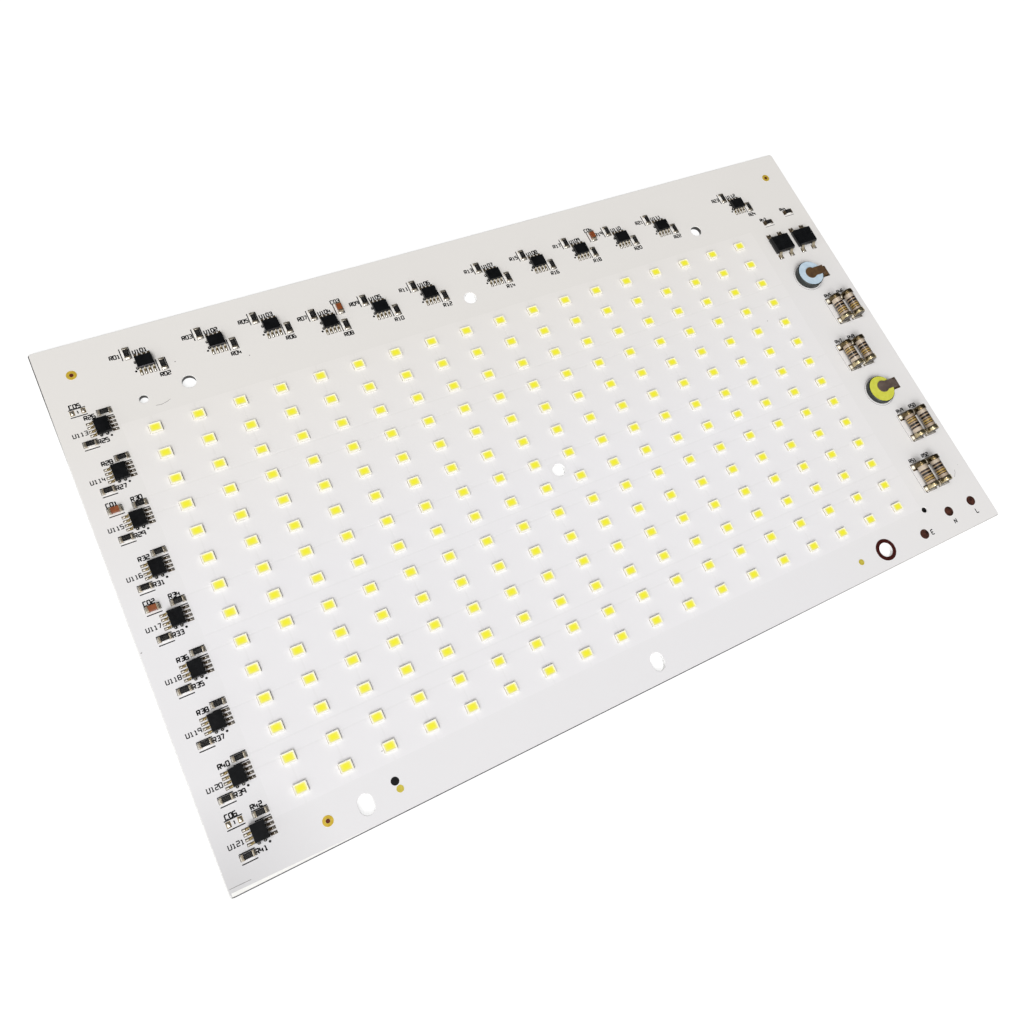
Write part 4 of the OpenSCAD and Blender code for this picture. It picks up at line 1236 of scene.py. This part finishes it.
def buildWear():
    hairs = StrokeSheet(faceTop + wearLook["hairLevel"])
    for path in wearLook["hairs"]:
        hairs.path(path)
    inkPiece("hairs", hairs, hairLook, wearLook["hairPen"])
    specks = [(x, y, faceTop, 0.0, 1.0) for x, y in wearLook["specks"]]
    shape = roundShape(sides=10, crown=wearLook["speckCrown"])
    spread("specks", shape, wearLook["speckSize"], specks, hairLook)
    levels = (faceTop, faceTop + wearLook["stripHeight"])
    corners = [(x, y, level) for level in levels for x, y in wearLook["chip"]]
    sides = [(3, 2, 1, 0), (4, 5, 6, 7)] + [(i, (i + 1) % 4, (i + 1) % 4 + 4, i + 4) for i in range(4)]
    addPiece("chipped_edge", meshFrom("paleEdgeStrip", corners, sides), paleStripLook)
    print("wear done")


buildWear()


# camera, light and floor

shot = {
    "sensor": 36.0,
    "lens": 32.046,
    "shift": (-0.03955, 0.00049),
    "clip": (0.01, 20.0),  # metres
    "place": (-111.446, -83.415, 255.610),  # mm
    "aim": (-13.57, -20.04, 1.6),
    "roll": 32.64,  # degrees
}
# metres and watts; every lamp looks at the middle of the board
lampSet = {
    "key": {"place": (-1.20, -2.01, 2.70), "size": 1.8, "power": 70.0, "tint": (1.0, 0.995, 1.0)},
    "top": {"place": (-1.29, 0.84, 2.85), "size": 0.75, "power": 14.0, "tint": (1.0, 0.975, 0.94)},
}
# sky brightness away from the window side and towards it
skyLook = {"window": (-0.62, -0.68, 0.38), "rise": (0.15, 0.8, 0.08, 1.15), "seen": 1.0}
floorLook = {
    "half": 3000.0,  # mm
    "level": -0.02,
    "glow": 0.76,
    "keep": (0.34, 0.34, 0.34, 1.0),
    "bounce": (0.8, 0.8, 0.8, 1.0),
    "shade": aluminiumLook["darkSpot"],  # painted shade on the floor under the small hole
    "shadeTone": (0.01, 0.01, 0.01, 1.0),
}


def aimed(name, data, place, aim, roll=0.0):
    thing = newObject(name, data)
    turned = (aim - place).to_track_quat("-Z", "Y").to_matrix().to_4x4()
    rolled = Matrix.Rotation(math.radians(roll), 4, "Z")
    thing.matrix_world = Matrix.Translation(place) @ turned @ rolled
    return thing


def placeCamera():
    data = bpy.data.cameras.new("camera")
    data.sensor_width = shot["sensor"]
    data.lens = shot["lens"]
    data.shift_x, data.shift_y = shot["shift"]
    data.clip_start, data.clip_end = shot["clip"]
    scene.camera = aimed("camera", data, Vector(shot["place"]) * mm, Vector(shot["aim"]) * mm, shot["roll"])


def lightStudio():
    for name, lamp in lampSet.items():
        data = bpy.data.lights.new(name, "AREA")
        data.shape = "SQUARE"
        data.size = lamp["size"]
        data.energy = lamp["power"]
        data.color = lamp["tint"]
        aimed(name, data, Vector(lamp["place"]), Vector())
    scene.world = bpy.data.worlds.new("studio")
    scene.world.use_nodes = True
    n = Nodes(scene.world.node_tree)
    background = n.tree.nodes["Background"]
    place = n.add("ShaderNodeTexCoord").outputs["Generated"]
    toWindow = n.vector("DOT_PRODUCT", place, skyLook["window"])
    level = n.span(toWindow, *skyLook["rise"], interpolation_type="SMOOTHSTEP")
    path = n.add("ShaderNodeLightPath").outputs
    seen = n.math("MAXIMUM", path["Is Camera Ray"], path["Is Transmission Ray"])
    n.feed(background.inputs["Color"], (1.0, 1.0, 1.0, 1.0))
    n.feed(background.inputs["Strength"], n.span(seen, 0.0, 1.0, level, skyLook["seen"]))


def layFloor():
    half, level = floorLook["half"], floorLook["level"]
    corners = [(x * half, y * half, level) for x, y in ((-1, -1), (1, -1), (1, 1), (-1, 1))]
    floor = newObject("floor", meshFrom("floor", corners, [(0, 1, 2, 3)]))
    s = Surface("paleFloor")
    path = s.add("ShaderNodeLightPath").outputs
    seen = s.math("MAXIMUM", path["Is Camera Ray"], path["Is Glossy Ray"])
    seen = s.math("MAXIMUM", seen, path["Is Transmission Ray"])
    # painted shade on the floor under the small hole
    x, y, radius = floorLook["shade"]
    lit = s.over(s.apart(x, y), radius)
    glow = s.add("ShaderNodeEmission", {"Strength": s.times(lit, floorLook["glow"])}).outputs[0]
    kept = s.mix(lit, floorLook["shadeTone"], floorLook["keep"])
    keep = s.add("ShaderNodeBsdfDiffuse", {"Color": kept}).outputs[0]
    shown = s.add("ShaderNodeAddShader", {0: glow, 1: keep}).outputs[0]
    bounce = s.add("ShaderNodeBsdfDiffuse", {"Color": floorLook["bounce"]}).outputs[0]
    mixed = s.add("ShaderNodeMixShader", {0: seen, 1: bounce, 2: shown}).outputs[0]
    s.feed(s.tree.nodes["Material Output"].inputs["Surface"], mixed)
    s.tree.nodes.remove(s.shader)
    floor.data.materials.append(s.material)


placeCamera()
lightStudio()
layFloor()
print("camera, light and floor set")
